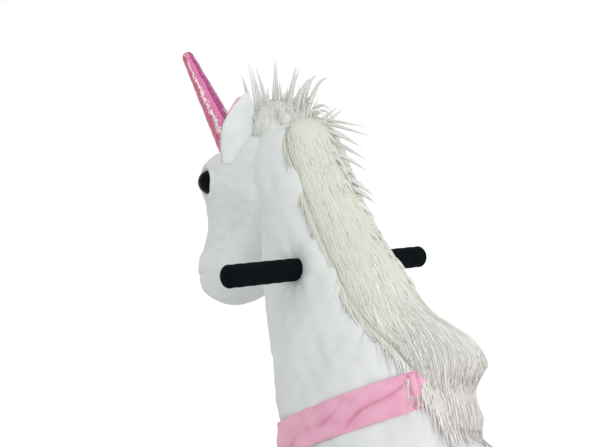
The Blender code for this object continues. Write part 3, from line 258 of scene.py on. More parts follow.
def grid_object(name, points, wrap=True, wrap_rows=False, poles=None):
    """A skin over a grid of points: four neighbours make a face, and a pole closes each end with a fan.

    Its UV map runs 0 to 1 along the columns and the rows.
    """
    rows, columns, _ = points.shape
    spots = points.reshape(-1, 3)
    index = np.arange(rows * columns).reshape(rows, columns)
    wide = np.hstack([index, index[:, :1]]) if wrap else index
    wide = np.vstack([wide, wide[:1]]) if wrap_rows else wide
    quads = np.stack([wide[:-1, :-1], wide[:-1, 1:], wide[1:, 1:], wide[1:, :-1]], -1).reshape(-1, 4)
    u = np.arange(wide.shape[1]) / (wide.shape[1] - 1)
    v = np.arange(wide.shape[0]) / (wide.shape[0] - 1)
    across, along = np.meshgrid(u, v)
    map_points = np.stack([across, along], -1)
    quad_map = [map_points[:-1, :-1], map_points[:-1, 1:], map_points[1:, 1:], map_points[1:, :-1]]
    faces = [quads]
    corners = [np.stack(quad_map, 2)]
    if poles is not None:
        for pole, ring, level, flip in ((poles[0], wide[0], 0.0, True), (poles[1], wide[-1], 1.0, False)):
            spots = np.vstack([spots, np.asarray(pole)[None]])
            tip = np.full(len(ring) - 1, len(spots) - 1)
            pair = (ring[1:], ring[:-1]) if flip else (ring[:-1], ring[1:])
            faces.append(np.stack([*pair, tip], -1))
            sides = (u[1:], u[:-1]) if flip else (u[:-1], u[1:])
            high = np.full(len(u) - 1, level)
            fan = [np.stack([sides[0], high], -1), np.stack([sides[1], high], -1)]
            corners.append(np.stack([*fan, np.stack([(u[1:] + u[:-1]) / 2, high], -1)], 1))
    piece = mesh_object(name, spots, faces, corners)
    return face_outwards(piece) if poles is not None or wrap_rows else piece


def face_away(piece, middle):
    """Turns an open sheet's faces so that most look away from a point in the toy's directions."""
    heart = Vector(to_frame(middle))
    outward = sum((face.center - heart).dot(face.normal) * face.area for face in piece.data.polygons)
    if outward < 0:
        piece.data.flip_normals()


def end_middles(points):
    """Middles of a grid's first and last rows, where its poles stand."""
    return [points[edge].mean(0) for edge in (0, -1)]


def add_attribute(piece, name, values, poles=()):
    """One number for each vertex of a piece, its poles' last, which the materials read."""
    layer = piece.data.attributes.new(name, "FLOAT", "POINT")
    values = np.concatenate([values.reshape(-1), poles])
    layer.data.foreach_set("value", values.astype(np.float32))


def thicken(piece, thickness):
    """Gives a sheet its cloth's thickness, outwards."""
    wall = piece.modifiers.new("Cloth thickness", "SOLIDIFY")
    wall.thickness = thickness
    wall.offset = 1.0


def form_object(name, form, relief, rows, columns):
    """A form's skin as a mesh, moved along its normals by relief(points, t)."""
    s = row_steps(rows)
    t = ring_angles(columns, 0.5)
    points = form.points(s, t)
    points = points + form.normals(s, t) * relief(points, t)[..., None]
    return grid_object(name, points, poles=form.middles(np.array([0.0, 1.0])))


def revolved(name, profile, centre, axis, columns):
    """A profile of (along, radius) pairs turned round an axis through centre; its ends close on the axis."""
    axis = np.asarray(axis, float)
    side = np.cross(axis, (0.0, 0.0, 1.0) if abs(axis[2]) < 0.9 else (0.0, 1.0, 0.0))
    side /= np.linalg.norm(side)
    other = np.cross(axis, side)
    angle = ring_angles(columns).T
    around = np.cos(angle) * side + np.sin(angle) * other
    profile = np.asarray(profile, float)
    points = np.asarray(centre) + profile[:, :1, None] * axis + profile[:, 1:, None] * around
    poles = [np.asarray(centre) + profile[end, 0] * axis for end in (0, -1)]
    return grid_object(name, points, poles=poles)


def rings_round(path, side, up, radius, sides):
    """Rings of points round a path, each radius away along side cos a + up sin a."""
    angle = ring_angles(sides)[..., None]
    return path[:, None] + radius * (np.cos(angle) * side[:, None] + np.sin(angle) * up[:, None])


def tube_along(name, path, radius, sides):
    """A closed round cord along a closed path of points."""
    along = np.roll(path, -1, 0) - np.roll(path, 1, 0)
    along /= np.linalg.norm(along, axis=1)[:, None]
    out = path - path.mean(0)
    side = np.cross(along, out)
    side /= np.linalg.norm(side, axis=1)[:, None]
    up = np.cross(side, along)
    return grid_object(name, rings_round(path, side, up, radius, sides), wrap_rows=True)


def hair(name, paths, ups, widths, shade, flatness):
    """Closed locks of hair: a flat three-sided section along each path, tapering to a point.

    paths are (locks, rings, 3), ups the ways that the locks' flat sides face, widths half the width of a lock
    at each ring but the last, shade one number a lock, and flatness a lock's thickness to its width.
    """
    locks, rings, _ = paths.shape
    along = np.gradient(paths, axis=1)
    side = np.cross(along, ups)
    side /= np.maximum(np.linalg.norm(side, axis=-1, keepdims=True), 1e-12)
    up = np.cross(side, along)
    up /= np.maximum(np.linalg.norm(up, axis=-1, keepdims=True), 1e-12)
    section = []
    for angle in (math.pi / 2, math.pi / 2 + full_turn / 3, math.pi / 2 + 2 * full_turn / 3):
        offset = math.cos(angle) * side + flatness * math.sin(angle) * up
        section.append(paths[:, :-1] + (offset * widths[..., None])[:, :-1])
    body = np.stack(section, 2).reshape(locks, -1, 3)
    points = np.concatenate([body, paths[:, -1:]], 1)
    size = points.shape[1]
    ring = np.arange(rings - 2)[:, None] * 3
    first = np.array([0, 1, 2])[None]
    second = np.array([1, 2, 0])[None]
    quads = np.stack([ring + first, ring + second, ring + 3 + second, ring + 3 + first], -1).reshape(-1, 4)
    last = 3 * (rings - 2)
    tips = np.stack([last + first[0], last + second[0], np.full(3, size - 1)], -1)
    root = np.array([[2, 1, 0]])
    starts = (np.arange(locks) * size)[:, None, None]
    faces = [(starts + group[None]).reshape(-1, group.shape[1]) for group in (quads, tips, root)]
    piece = mesh_object(name, points.reshape(-1, 3), faces)
    face_outwards(piece)
    add_attribute(piece, "shade", np.repeat(shade, size))
    return piece


# Materials


noise = "ShaderNodeTexNoise"
cells = "ShaderNodeTexVoronoi"


def linear(code):
    """An sRGB hex colour as the linear colour that the shaders use."""
    parts = [int(code[place:place + 2], 16) / 255 for place in (1, 3, 5)]
    light = [part / 12.92 if part <= 0.04045 else ((part + 0.055) / 1.055) ** 2.4 for part in parts]
    return (*light, 1.0)


def add_node(tree, kind, inputs=None, stops=(), **settings):
    """Adds a node with its settings; an input is a value or another node's output.

    stops are the pairs of place and hex colour along a colour ramp.
    """
    node = tree.nodes.new(kind)
    for name, value in settings.items():
        setattr(node, name, value)
    for name, value in (inputs or {}).items():
        if isinstance(value, bpy.types.NodeSocket):
            tree.links.new(value, node.inputs[name])
        else:
            node.inputs[name].default_value = value
    if stops:
        while len(node.color_ramp.elements) < len(stops):
            node.color_ramp.elements.new(0.5)
        for element, (place, code) in zip(node.color_ramp.elements, stops):
            element.position = place
            element.color = linear(code)
    return node


def new_material(name, **values):
    """A named material with its shader's constant values."""
    look = bpy.data.materials.new(name)
    look.use_nodes = True
    shader = look.node_tree.nodes["Principled BSDF"]
    for word, value in values.items():
        shader.inputs[word.replace("_", " ")].default_value = value
    return look


def pattern(look, kind, size, stretch=(1.0, 1.0, 1.0), output="Fac", **settings):
    """A procedural texture over object coordinates, one feature every size metres, stretched by axis."""
    tree = look.node_tree
    spot = add_node(tree, "ShaderNodeTexCoord").outputs["Object"]
    place = add_node(tree, "ShaderNodeMapping", {"Vector": spot, "Scale": stretch}).outputs["Vector"]
    return add_node(tree, kind, {"Vector": place, "Scale": 1 / size}, **settings).outputs[output]


def finish(look, factor, stops, layers=(), height=None, depth=0.0, strength=0.0):
    """Gives a material its colours along a factor, and its relief.

    layers are pairs of a share and a hex colour, laid over the colours in turn. The height counts in shares
    of depth, in metres.
    """
    tree = look.node_tree
    shader = tree.nodes["Principled BSDF"]
    shade = add_node(tree, "ShaderNodeValToRGB", {"Fac": factor}, stops).outputs["Color"]
    for share, code in layers:
        inputs = {0: share, 6: shade, 7: linear(code)}
        shade = add_node(tree, "ShaderNodeMix", inputs, data_type="RGBA").outputs[2]
    tree.links.new(shade, shader.inputs["Base Color"])
    if height is not None:
        inputs = {"Height": height, "Distance": depth, "Strength": strength}
        relief = add_node(tree, "ShaderNodeBump", inputs)
        tree.links.new(relief.outputs["Normal"], shader.inputs["Normal"])
    return look


def any_ray(tree, *kinds):
    """1 for a ray of any of these kinds, and 0 for every other."""
    path = add_node(tree, "ShaderNodeLightPath")
    seen = path.outputs[kinds[0]]
    for kind in kinds[1:]:
        both = {0: seen, 1: path.outputs[kind]}
        seen = add_node(tree, "ShaderNodeMath", both, operation="MAXIMUM").outputs["Value"]
    return seen


def sheared_plush(colour):
    """Knitted polyester plush, sheared to a short pile: matt, cool white, with a soft mottle where the pile
    leans, 50 mm across, and a fine nap. The nap is really 0.3 mm, and is drawn at 1.1 mm so that it shows."""
    nap_size = 0.0011
    look = new_material("Sheared plush", Roughness=0.95, Sheen_Weight=0.10, Sheen_Roughness=0.45,
                        Specular_IOR_Level=0.15)
    mottle = pattern(look, noise, size=0.050)
    nap = pattern(look, noise, size=nap_size, stretch=(1.0, 1.0, 0.55))
    stops = ((0.30, "#E9EDEC"), (0.70, colour))
    return finish(look, mottle, stops, height=nap, depth=0.0006, strength=0.55)


def long_pile(colour):
    """Long acrylic fur: each lock has its own ivory shade and a soft silky shine. The palest stop is painted
    light, for locks made lighter to make up for the shade that they cast on each other.
    """
    look = new_material("Long pile", Roughness=0.72, Sheen_Weight=0.22, Sheen_Roughness=0.5,
                        Specular_IOR_Level=0.3)
    shade = add_node(look.node_tree, "ShaderNodeAttribute", attribute_name="shade").outputs["Fac"]
    return finish(look, shade, ((0.0, "#D0D2C4"), (0.35, "#D8DACD"), (0.6, colour), (1.0, "#FBFCF8")))


def fur_ground(colour):
    """The close fur under the locks: the same ivory, streaked along the hair and broken up every 6 mm."""
    look = new_material("Fur ground", Roughness=0.8, Sheen_Weight=0.10, Specular_IOR_Level=0.25)
    tree = look.node_tree
    streak = add_node(tree, "ShaderNodeAttribute", attribute_name="streak").outputs["Fac"]
    both = {0: streak, 1: pattern(look, noise, size=0.006)}
    mixed = add_node(tree, "ShaderNodeMath", both, operation="ADD").outputs["Value"]
    stops = ((0.30, "#DADCCF"), (0.60, "#DEE0D3"), (0.95, colour))
    return finish(look, mixed, stops, height=mixed, depth=0.0006, strength=0.5)


def satin(name, colour, deep):
    """Brushed polyester satin: a close weave, really 0.15 mm a thread and drawn at 0.8 mm so that it shows,
    with a soft sheen, a faint unevenness of dye and painted shade in its creases."""
    thread_size = 0.0008
    look = new_material(name, Roughness=0.62, Sheen_Weight=0.20, Sheen_Roughness=0.35,
                        Specular_IOR_Level=0.30)
    dye = pattern(look, noise, size=0.040, stretch=(1.0, 1.0, 2.0))
    weave = pattern(look, "ShaderNodeTexWave", size=thread_size * 2, wave_profile="SIN")
    crease = add_node(look.node_tree, "ShaderNodeAttribute", attribute_name="crease").outputs["Fac"]
    stops = ((0.32, deep), (0.62, colour))
    # Painted shade: where a piece carries a crease number, its creases are darkened towards this colour.
    layers = ((crease, "#D67A9C"),)
    return finish(look, dye, stops, layers, height=weave, depth=0.0002, strength=0.35)


def crinkled_film(light, warm, dark):
    """Pearl film laminated to cloth: glossy, finely crinkled and pink, with painted light in its colours: a warm
    reflection on one side, painted shade past a seam and a jagged white painted highlight along the horn.
    The crinkles lie 3.5 mm apart."""
    crinkle_size = 0.0035
    look = new_material("Crinkled pearl film", Roughness=0.42, Specular_IOR_Level=0.35,
                        Coat_Weight=0.12, Coat_Roughness=0.25)
    tree = look.node_tree
    panel = add_node(tree, "ShaderNodeAttribute", attribute_name="panel").outputs["Fac"]
    glint = add_node(tree, "ShaderNodeAttribute", attribute_name="glint").outputs["Fac"]
    speckle = {"Value": pattern(look, noise, size=crinkle_size), "From Min": 0.50, "From Max": 0.72,
               "To Min": 0.0, "To Max": 0.30}
    lifted = add_node(tree, "ShaderNodeMapRange", speckle).outputs["Result"]
    folds = pattern(look, cells, size=crinkle_size, output="Distance")
    # Painted light round the horn: a warm reflection, the lit pink and painted shade.
    stops = ((0.0, warm), (0.12, warm), (0.45, light), (0.62, light), (0.70, dark), (1.0, dark))
    layers = ((lifted, "#F6C6DC"), (glint, "#FFFFFF"))
    return finish(look, panel, stops, layers, height=folds, depth=0.0006, strength=0.6)


def soft_foam(name, colour, paler, roughness, pore_size):
    """Closed-cell foam or rubber: deep matt black with paler dust in clouds of 20 mm. Its pores are really
    about 0.3 mm across, and are drawn at 1 to 1.6 mm so that they show."""
    look = new_material(name, Roughness=roughness, Specular_IOR_Level=0.05)
    dust = pattern(look, noise, size=0.02)
    pores = pattern(look, cells, size=pore_size, output="Distance")
    stops = ((0.35, colour), (0.75, paler))
    return finish(look, dust, stops, height=pores, depth=0.0003, strength=0.5)


def glossy_eye():
    """Moulded black acrylic, polished until it is nearly mirror smooth."""
    look = new_material("Polished eye", Roughness=0.07, Specular_IOR_Level=0.06)
    return finish(look, pattern(look, noise, size=0.02), ((0.3, "#010102"), (0.7, "#030304")))


def powder_coat():
    """Steel tube with a baked black powder coat: satin, with the 1.4 mm ripple that such paint dries to."""
    look = new_material("Black powder coat", Roughness=0.42, Coat_Weight=0.15)
    cloud = pattern(look, noise, size=0.05)
    ripple = pattern(look, noise, size=0.0014)
    stops = ((0.3, "#26282A"), (0.7, "#303336"))
    return finish(look, cloud, stops, height=ripple, depth=0.0003, strength=0.5)


def zinc_plate():
    """Zinc-plated steel: a grey metal with the bloom of passivated plating, in clouds of 12 mm. The tube's
    drawing lines are really 0.2 mm apart, and are drawn at 1.2 mm so that they show."""
    look = new_material("Zinc plate", Roughness=0.34, Metallic=1.0)
    bloom = pattern(look, noise, size=0.012)
    grain = pattern(look, noise, size=0.0012, stretch=(1.0, 1.0, 0.2))
    stops = ((0.3, "#B4B8BC"), (0.7, "#C9CCD0"))
    return finish(look, bloom, stops, height=grain, depth=0.0001, strength=0.4)


def moulded_plastic(name, colour, darker, roughness, grain_size):
    """Injection-moulded plastic, dulled in patches of 30 mm where it rubs. The grain of its spark-eroded
    mould is really 0.1 mm, and is drawn at 0.8 to 0.9 mm so that it shows."""
    look = new_material(name, Roughness=roughness)
    wear = pattern(look, noise, size=0.03)
    grain = pattern(look, noise, size=grain_size)
    stops = ((0.3, darker), (0.7, colour))
    return finish(look, wear, stops, height=grain, depth=0.0002, strength=0.5)


def birch_plywood():
    """Rotary-cut birch ply, unvarnished: pale brown, its soft grain 2.5 mm apart and ten times as long."""
    look = new_material("Birch plywood", Roughness=0.7, Specular_IOR_Level=0.3)
    grain = pattern(look, noise, size=0.01, stretch=(4.0, 0.4, 4.0))
    stops = ((0.35, "#B8925F"), (0.65, "#D2B081"))
    return finish(look, grain, stops, height=grain, depth=0.0002, strength=0.4)


def pale_floor():
    """Matt white paper with a 4 mm grain. A glow that only the camera and glossy pieces see brings its grey
    to white and keeps its shadows."""
    glow = 0.55
    look = new_material("White paper", Roughness=0.9, Specular_IOR_Level=0.1)
    tree = look.node_tree
    shader = tree.nodes["Principled BSDF"]
    shader.inputs["Base Color"].default_value = linear("#DADADA")
    shader.inputs["Emission Color"].default_value = linear("#FFFFFF")
    seen = any_ray(tree, "Is Camera Ray", "Is Glossy Ray")
    lift = add_node(tree, "ShaderNodeMath", {0: seen, 1: glow}, operation="MULTIPLY")
    tree.links.new(lift.outputs["Value"], shader.inputs["Emission Strength"])
    grain = {"Height": pattern(look, noise, size=0.004), "Distance": 0.0002, "Strength": 0.2}
    relief = add_node(tree, "ShaderNodeBump", grain)
    tree.links.new(relief.outputs["Normal"], shader.inputs["Normal"])
    return look


made = {}


def material(maker, *values):
    """A material made on its first use and shared after that."""
    key = (maker.__name__, *values)
    if key not in made:
        made[key] = maker(*values)
    return made[key]


def dress(piece, look, body=None, nodes=()):
    """Gives a piece its material and slot, hangs it on its body and lets it stand for its nodes."""
    piece.data.materials.clear()
    piece.data.materials.append(look)
    if body is not None:
        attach(piece, body)
    if nodes:
        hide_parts(*nodes)


def sizes():
    """The sizes that the user can change."""
    return bpy.context.scene.ride_on_sizes


def looks():
    """The colours that the user can change."""
    return bpy.context.scene.ride_on_looks


def plush():
    """The white plush of body, head, legs and ears."""
    return material(sheared_plush, looks().plush_colour)


def fur():
    """The long fur of the locks."""
    return material(long_pile, looks().fur_colour)


def close_fur():
    """The fur that the locks stand in."""
    return material(fur_ground, looks().fur_colour)


def pink_cloth():
    """The pink satin of the band, the seat and the ears' lining."""
    return material(satin, "Pink satin", looks().satin_colour, looks().satin_shade)


# The body, neck and head


coat_rows = (
    (-0.500, 0.425, -0.500, 0.425, 0.000, 2.3, 2.3, 0.0),
    (-0.487, 0.460, -0.490, 0.378, 0.055, 2.3, 2.3, 0.0),
    (-0.470, 0.476, -0.470, 0.350, 0.082, 2.3, 2.3, 0.0),
    (-0.437, 0.487, -0.437, 0.323, 0.109, 2.3, 2.3, 0.0),
    (-0.390, 0.489, -0.390, 0.311, 0.119, 2.3, 2.3, 0.0),
    (-0.340, 0.485, -0.336, 0.311, 0.112, 2.2, 2.3, 0.0),
    (-0.290, 0.483, -0.254, 0.311, 0.105, 2.1, 2.3, -0.03),
    (-0.262, 0.485, -0.170, 0.310, 0.107, 2.0, 2.3, -0.08),
    (-0.248, 0.490, -0.085, 0.310, 0.110, 1.9, 2.3, -0.11),
    (-0.238, 0.502, -0.010, 0.312, 0.105, 1.9, 2.3, -0.13),
    (-0.230, 0.518, 0.033, 0.325, 0.097, 1.9, 2.3, -0.13),
    (-0.221, 0.538, 0.052, 0.352, 0.090, 1.9, 2.3, -0.13),
    (-0.211, 0.558, 0.054, 0.385, 0.086, 2.0, 2.4, -0.12),
    (-0.198, 0.582, 0.051, 0.430, 0.083, 2.1, 2.4, -0.10),
    (-0.180, 0.610, 0.060, 0.480, 0.081, 2.1, 2.4, -0.10),
    (-0.150, 0.643, 0.083, 0.560, 0.077, 2.1, 2.4, -0.10),
    (-0.118, 0.682, 0.100, 0.625, 0.066, 2.1, 2.5, -0.10),
    (-0.079, 0.722, 0.107, 0.682, 0.059, 2.1, 2.6, -0.10),
    (-0.044, 0.762, 0.115, 0.735, 0.057, 2.1, 2.6, -0.10),
    (-0.015, 0.802, 0.124, 0.785, 0.056, 2.1, 2.6, -0.08),
    (0.012, 0.843, 0.131, 0.830, 0.050, 2.1, 2.5, -0.05),
    (0.030, 0.863, 0.120, 0.857, 0.036, 2.1, 2.3, 0.0),
    (0.075, 0.871, 0.075, 0.871, 0.000, 2.1, 2.1, 0.0),
)
coat = Form(coat_rows)

head_rows = (
    (0.222, 0.5980, 0.222, 0.5980, 0.000, 2.1, 2.4, 0.0),
    (0.250, 0.6060, 0.190, 0.6060, 0.028, 2.1, 2.4, 0.0),
    (0.267, 0.6175, 0.170, 0.6175, 0.042, 2.1, 2.6, 0.0),
    (0.277, 0.6390, 0.150, 0.6390, 0.051, 2.1, 2.8, 0.0),
    (0.278, 0.6610, 0.132, 0.6610, 0.053, 2.1, 3.0, 0.0),
    (0.268, 0.6880, 0.108, 0.6880, 0.050, 2.1, 3.2, -0.04),
    (0.258, 0.7160, 0.085, 0.7160, 0.050, 2.1, 3.4, -0.06),
    (0.260, 0.7470, 0.065, 0.7470, 0.054, 2.1, 3.4, -0.04),
    (0.269, 0.7785, 0.050, 0.7785, 0.059, 2.2, 3.2, 0.0),
    (0.265, 0.8010, 0.050, 0.8020, 0.057, 2.2, 3.0, 0.0),
    (0.234, 0.8240, 0.060, 0.8260, 0.050, 2.2, 2.8, 0.0),
    (0.195, 0.8450, 0.080, 0.8440, 0.038, 2.2, 2.4, 0.0),
    (0.135, 0.8580, 0.135, 0.8580, 0.000, 2.1, 2.1, 0.0),
)
head = Form(head_rows)

# The band lies between planes that climb towards the tail.
band_slope = 0.48
band_low = 0.436
band_high = 0.483

eye_spot = np.array([0.046, 0.214, 0.784])
eye_radius = 0.018

# Places on the face, ahead and up; the nostril's is left and up.
brow_spot = (0.222, 0.812)
nostril_spot = (0.022, 0.658)
mouth_spot = (0.278, 0.632)
fold_spot = (0.170, 0.712)
cheek_spot = (0.098, 0.76)


def tilted_height(points):
    """Height over planes that climb towards the tail as the band does."""
    return points[..., 2] + band_slope * points[..., 1]


def turn_with_neck(piece):
    """Bakes a piece's placement into its mesh."""
    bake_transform(piece)


def coat_relief(points, t):
    """Height of the coat over its smooth form: stuffing lumps, gathers round the grips, a seam under the
    throat, the dent under the band and the pocket that the steering shaft leaves through."""
    height = 0.0013 * waves(points, 0.085, 1) + 0.0004 * waves(points, 0.028, 2)
    away = np.hypot(points[..., 1], points[..., 2] - handle_height)
    beside = smoothstep(np.abs(points[..., 0]), 0.025, 0.045)
    around = np.arctan2(points[..., 2] - handle_height, points[..., 1])
    gathers = 0.0006 * np.sin(9 * around + 1.0) * bell(away - 0.027, 0.012)
    height += beside * (gathers - 0.0085 * bell(away, 0.019) + 0.0012 * bell(away - 0.034, 0.012))
    throat = np.abs(t - math.pi) * 0.06
    height -= 0.0012 * bell(throat, 0.002) * smoothstep(points[..., 2], 0.33, 0.36)
    strap = tilted_height(points) - (band_low + band_high) / 2
    height += 0.0014 * bell(np.abs(strap) - 0.032, 0.008) - 0.0016 * bell(strap, 0.022)
    lean = points[..., 1] - 0.010
    pocket = smoothstep(-np.abs(points[..., 0]), -0.020, -0.011) * smoothstep(-np.abs(lean), -0.036, -0.022)
    belly = smoothstep(-points[..., 2], -0.345, -0.335)
    return height - 0.026 * pocket * belly


def head_relief(points, _):
    """Height of the head over its smooth form: lumps, eye sockets and lids, brows, nostrils, the mouth's
    crease, the cheek's fold and the seam down the cheek."""
    left = np.abs(points[..., 0])
    ahead = points[..., 1]
    up = points[..., 2]
    height = 0.0010 * waves(points, 0.07, 3) + 0.0003 * waves(points, 0.02, 4)
    socket = np.linalg.norm(np.stack([left, ahead, up], -1) - eye_spot, axis=-1)
    height += 0.0028 * bell(socket - 0.0235, 0.0045) - 0.0030 * bell(socket, 0.016)
    brow = np.hypot(ahead - brow_spot[0], (up - brow_spot[1]) * 1.6)
    height += 0.0030 * bell(brow, 0.020) * smoothstep(left, 0.012, 0.03)
    nostril = np.hypot(left - nostril_spot[0], up - nostril_spot[1])
    height -= 0.0050 * bell(nostril, 0.0055) * smoothstep(ahead, 0.235, 0.25)
    height += 0.0016 * bell(nostril - 0.010, 0.004) * smoothstep(ahead, 0.235, 0.25)
    mouth = up - mouth_spot[1] - 0.35 * (mouth_spot[0] - ahead)
    height -= 0.0022 * bell(mouth, 0.0026) * smoothstep(ahead, 0.195, 0.225)
    fold = up - fold_spot[1] + 0.55 * (ahead - fold_spot[0])
    height -= 0.0042 * bell(fold, 0.0050) * bell(ahead - 0.175, 0.040) * smoothstep(left, 0.02, 0.04)
    cheek = ahead - cheek_spot[0] - 0.10 * (cheek_spot[1] - up)
    height -= 0.0012 * bell(cheek, 0.0024) * smoothstep(up, 0.685, 0.70) * smoothstep(left, 0.02, 0.035)
    return height


class RIDE_ON_OT_coat(bpy.types.Operator):
    """Adds the plush skin of the barrel, chest and neck in one piece"""

    bl_idname = "ride_on.coat"
    bl_label = "Body and neck"

    def execute(self, context):
        skin = form_object("body_coat", coat, coat_relief, rows=262, columns=372)
        dress(skin, plush(), None, ("body_plush", "neck_plush"))
        turn_with_neck(skin)
        return {"FINISHED"}


class RIDE_ON_OT_head(bpy.types.Operator):
    """Adds the stuffed head with its sockets, nostrils and seams"""

    bl_idname = "ride_on.head"
    bl_label = "Head"

    def execute(self, context):
        skin = form_object("head_coat", head, head_relief, rows=210, columns=250)
        dress(skin, plush(), "steering", ("head_plush",))
        return {"FINISHED"}


class RIDE_ON_OT_eyes(bpy.types.Operator):
    """Adds the polished eyes, set in the sockets"""

    bl_idname = "ride_on.eyes"
    bl_label = "Eyes"

    def execute(self, context):
        angle = np.linspace(0, math.pi, 26)[1:-1]
        dome = np.stack([-eye_radius * np.cos(angle), eye_radius * np.sin(angle)], -1)
        for side, sign in both_sides:
            spot = eye_spot * (sign, 1, 1)
            axis = (sign, 0.0, 0.0)
            eye = revolved("eye_%s_polished" % side, dome, spot, axis, columns=40)
            dress(eye, material(glossy_eye), "steering", ("eye_" + side,))
        return {"FINISHED"}


horn_root = np.array([0.0, 0.2075, 0.815])
horn_tip = np.array([0.0, 0.3471, 0.9759])
horn_root_radius = 0.0222
horn_tip_radius = 0.0085
# The first seam's angle round the horn; the film is painted in shade past it.
seam_angle = math.radians(28)
# Angle round the horn of the painted highlight, a white line where the glossy film would reflect the lamps.
painted_highlight_angle = math.radians(-14)

# The way to the horn's side that the photo shows, from which the panels' angles count.
lit_way = np.array([0.643, -0.766, 0.0])


class RIDE_ON_OT_horn(bpy.types.Operator):
    """Adds the stuffed horn in three panels of crinkled film"""

    bl_idname = "ride_on.horn"
    bl_label = "Horn"

    def execute(self, context):
        rows, columns, cap_rows = 140, 96, 20
        length = np.linalg.norm(horn_tip - horn_root)
        cap_start = 1 - horn_tip_radius / length
        cap_turn = np.linspace(0, math.pi / 2, cap_rows)[1:-1]
        cap_places = cap_start + (1 - cap_start) * np.sin(cap_turn)
        v = np.concatenate([np.linspace(0, cap_start, rows), cap_places])[:, None]
        angle = np.linspace(-math.pi, math.pi, columns, endpoint=False)[None]
        along = (horn_tip - horn_root) / length
        face = lit_way - lit_way @ along * along
        face /= np.linalg.norm(face)
        side = np.cross(face, along)
        cap = np.sqrt(1 - np.clip((v - cap_start) / (1 - cap_start), 0.0, 1.0) ** 2)
        radius = (horn_root_radius + (horn_tip_radius - horn_root_radius) * v) * cap
        around = np.cos(angle)[..., None] * face + np.sin(angle)[..., None] * side
        centre = horn_root + v[..., None] * (horn_tip - horn_root)
        points = centre + radius[..., None] * around
        crease = waves(points, 0.016, 5) * 0.00018 + waves(points, 0.007, 6) * 0.00010
        seams = 0.0
        for turn in (0, 1, 2):
            apart = np.abs((angle - seam_angle - turn * full_turn / 3 + math.pi) % full_turn - math.pi)
            seams = seams + bell(apart * radius, 0.0012)
        points = points + (crease * cap - 0.0003 * seams * cap)[..., None] * around
        horn = grid_object("horn_film", points, poles=(horn_root, horn_tip))
        # Painted light: a warm reflection, then lit pink past the highlight, then painted shade past the seam.
        panel = 0.50 * smoothstep(angle, painted_highlight_angle - 0.20, painted_highlight_angle + 0.25)
        panel = np.where(angle < seam_angle, panel, 0.85) + 0.05 * waves(points, 0.02, 8)
        # A painted highlight: a jagged white line along the horn at its angle, narrowing towards the tip.
        jag = 0.05 * waves(points, 0.020, 9) + 0.07 * waves(points, 0.0045, 10)
        width = (0.09 + 0.08 * (1 - v)) * smoothstep(v, 0.05, 0.12) * smoothstep(-v, -0.93, -0.85)
        apart = np.abs(angle - painted_highlight_angle + jag)
        glint = smoothstep(width + 0.06 * waves(points, 0.004, 12) - apart, 0.0, 0.02)
        add_attribute(horn, "panel", np.clip(panel, 0, 1), (0.3, 0.5))
        add_attribute(horn, "glint", glint, (0.0, 0.0))
        film = material(crinkled_film, looks().film_colour, looks().film_warm_reflection, looks().film_painted_shade)
        dress(horn, film, "steering", ("horn",))
        return {"FINISHED"}


ear_foot = np.array([0.0424, 0.159, 0.815])
ear_tip = np.array([0.051, 0.1255, 0.9135])
ear_half_width = 0.0300
ear_depth = 0.012
ear_turn = math.radians(5)
ear_facing = np.array([math.sin(ear_turn), math.cos(ear_turn), 0.0])


def ear_points(v, p, share=1.0):
    """A leaf-shaped cup: width sin(pi (0.26 + 0.74 v)^1.1)^0.72, deepest behind, a closed crescent across."""
    along = ear_tip - ear_foot
    length = np.linalg.norm(along)
    along = along / length
    facing = ear_facing - ear_facing @ along * along
    facing /= np.linalg.norm(facing)
    across = np.cross(along, facing)
    width = np.clip(np.sin(math.pi * (0.26 + 0.74 * v) ** 1.1), 0.0, 1.0) ** 0.72
    depth = np.where(np.sin(p) > 0, 1.0, 0.45) * np.abs(np.sin(p)) ** 0.8
    curl = 0.006 * smoothstep(v, 0.55, 1.0)
    centre = ear_foot + v[..., None] * length * along
    offset = ear_half_width * share * width * np.cos(p)
    back = -(ear_depth * width * depth) * share - curl
    return centre + offset[..., None] * across + back[..., None] * facing


class RIDE_ON_OT_ears(bpy.types.Operator):
    """Adds the plush ears with their pink lining"""

    bl_idname = "ride_on.ears"
    bl_label = "Ears"

    def execute(self, context):
        v = row_steps(60)
        p = ring_angles(64)
        for side, sign in both_sides:
            mirror = np.array([sign, 1, 1])
            points = ear_points(v, p)
            points += 0.0006 * waves(points, 0.03, 11)[..., None]
            points = points * mirror
            ear = grid_object("ear_%s_plush" % side, points, poles=end_middles(points))
            dress(ear, plush(), "steering", ("ear_" + side,))
            inner = v * 0.90 + 0.04
            hollow = ear_points(inner, -np.abs(math.pi - p), 0.90)
            lift = np.where(p > math.pi, 0.0022, 0.0002)
            hollow = hollow + lift[..., None] * ear_facing
            hollow = hollow + 0.0034 * smoothstep(v, 0.50, 0.80)[..., None] * (1, 0, 0)
            hollow = hollow * mirror
            lining = grid_object("ear_%s_lining" % side, hollow, poles=end_middles(hollow))
            dress(lining, pink_cloth(), "steering")
        return {"FINISHED"}


# The saddle and its band


band_heart = (0.0, -0.08, 0.46)

# The round angle of the stitched joint on each side, and the coat's radius there.
joint_turn = 0.43
joint_radius = 0.11


def band_slant(points, v):
    """How far each place of the band lies from the nearest fold, from 0 on a fold to 1 between two."""
    return np.abs(np.sin(points[..., 1] * 30 + v * 3.4 + 0.6 * waves(points, 0.12, 21)))


def band_points(v, t, lift):
    """The band's face: level lines of the tilted height on the coat, with folds that run aslant."""
    level = band_low + (band_high - band_low) * v
    s = coat.find(t, level, tilted_height, 0.33, 0.78)
    points = coat.points(s, t)
    slant = band_slant(points, v) ** 0.7 - 0.27
    folds = 0.0045 * slant * np.sin(math.pi * v) ** 0.7 + 0.0004 * waves(points, 0.030, 22)
    edge = 0.0007 * (bell(v - 0.05, 0.05) + bell(v - 0.95, 0.05))
    return coat.above(s, t, lift + folds + edge)


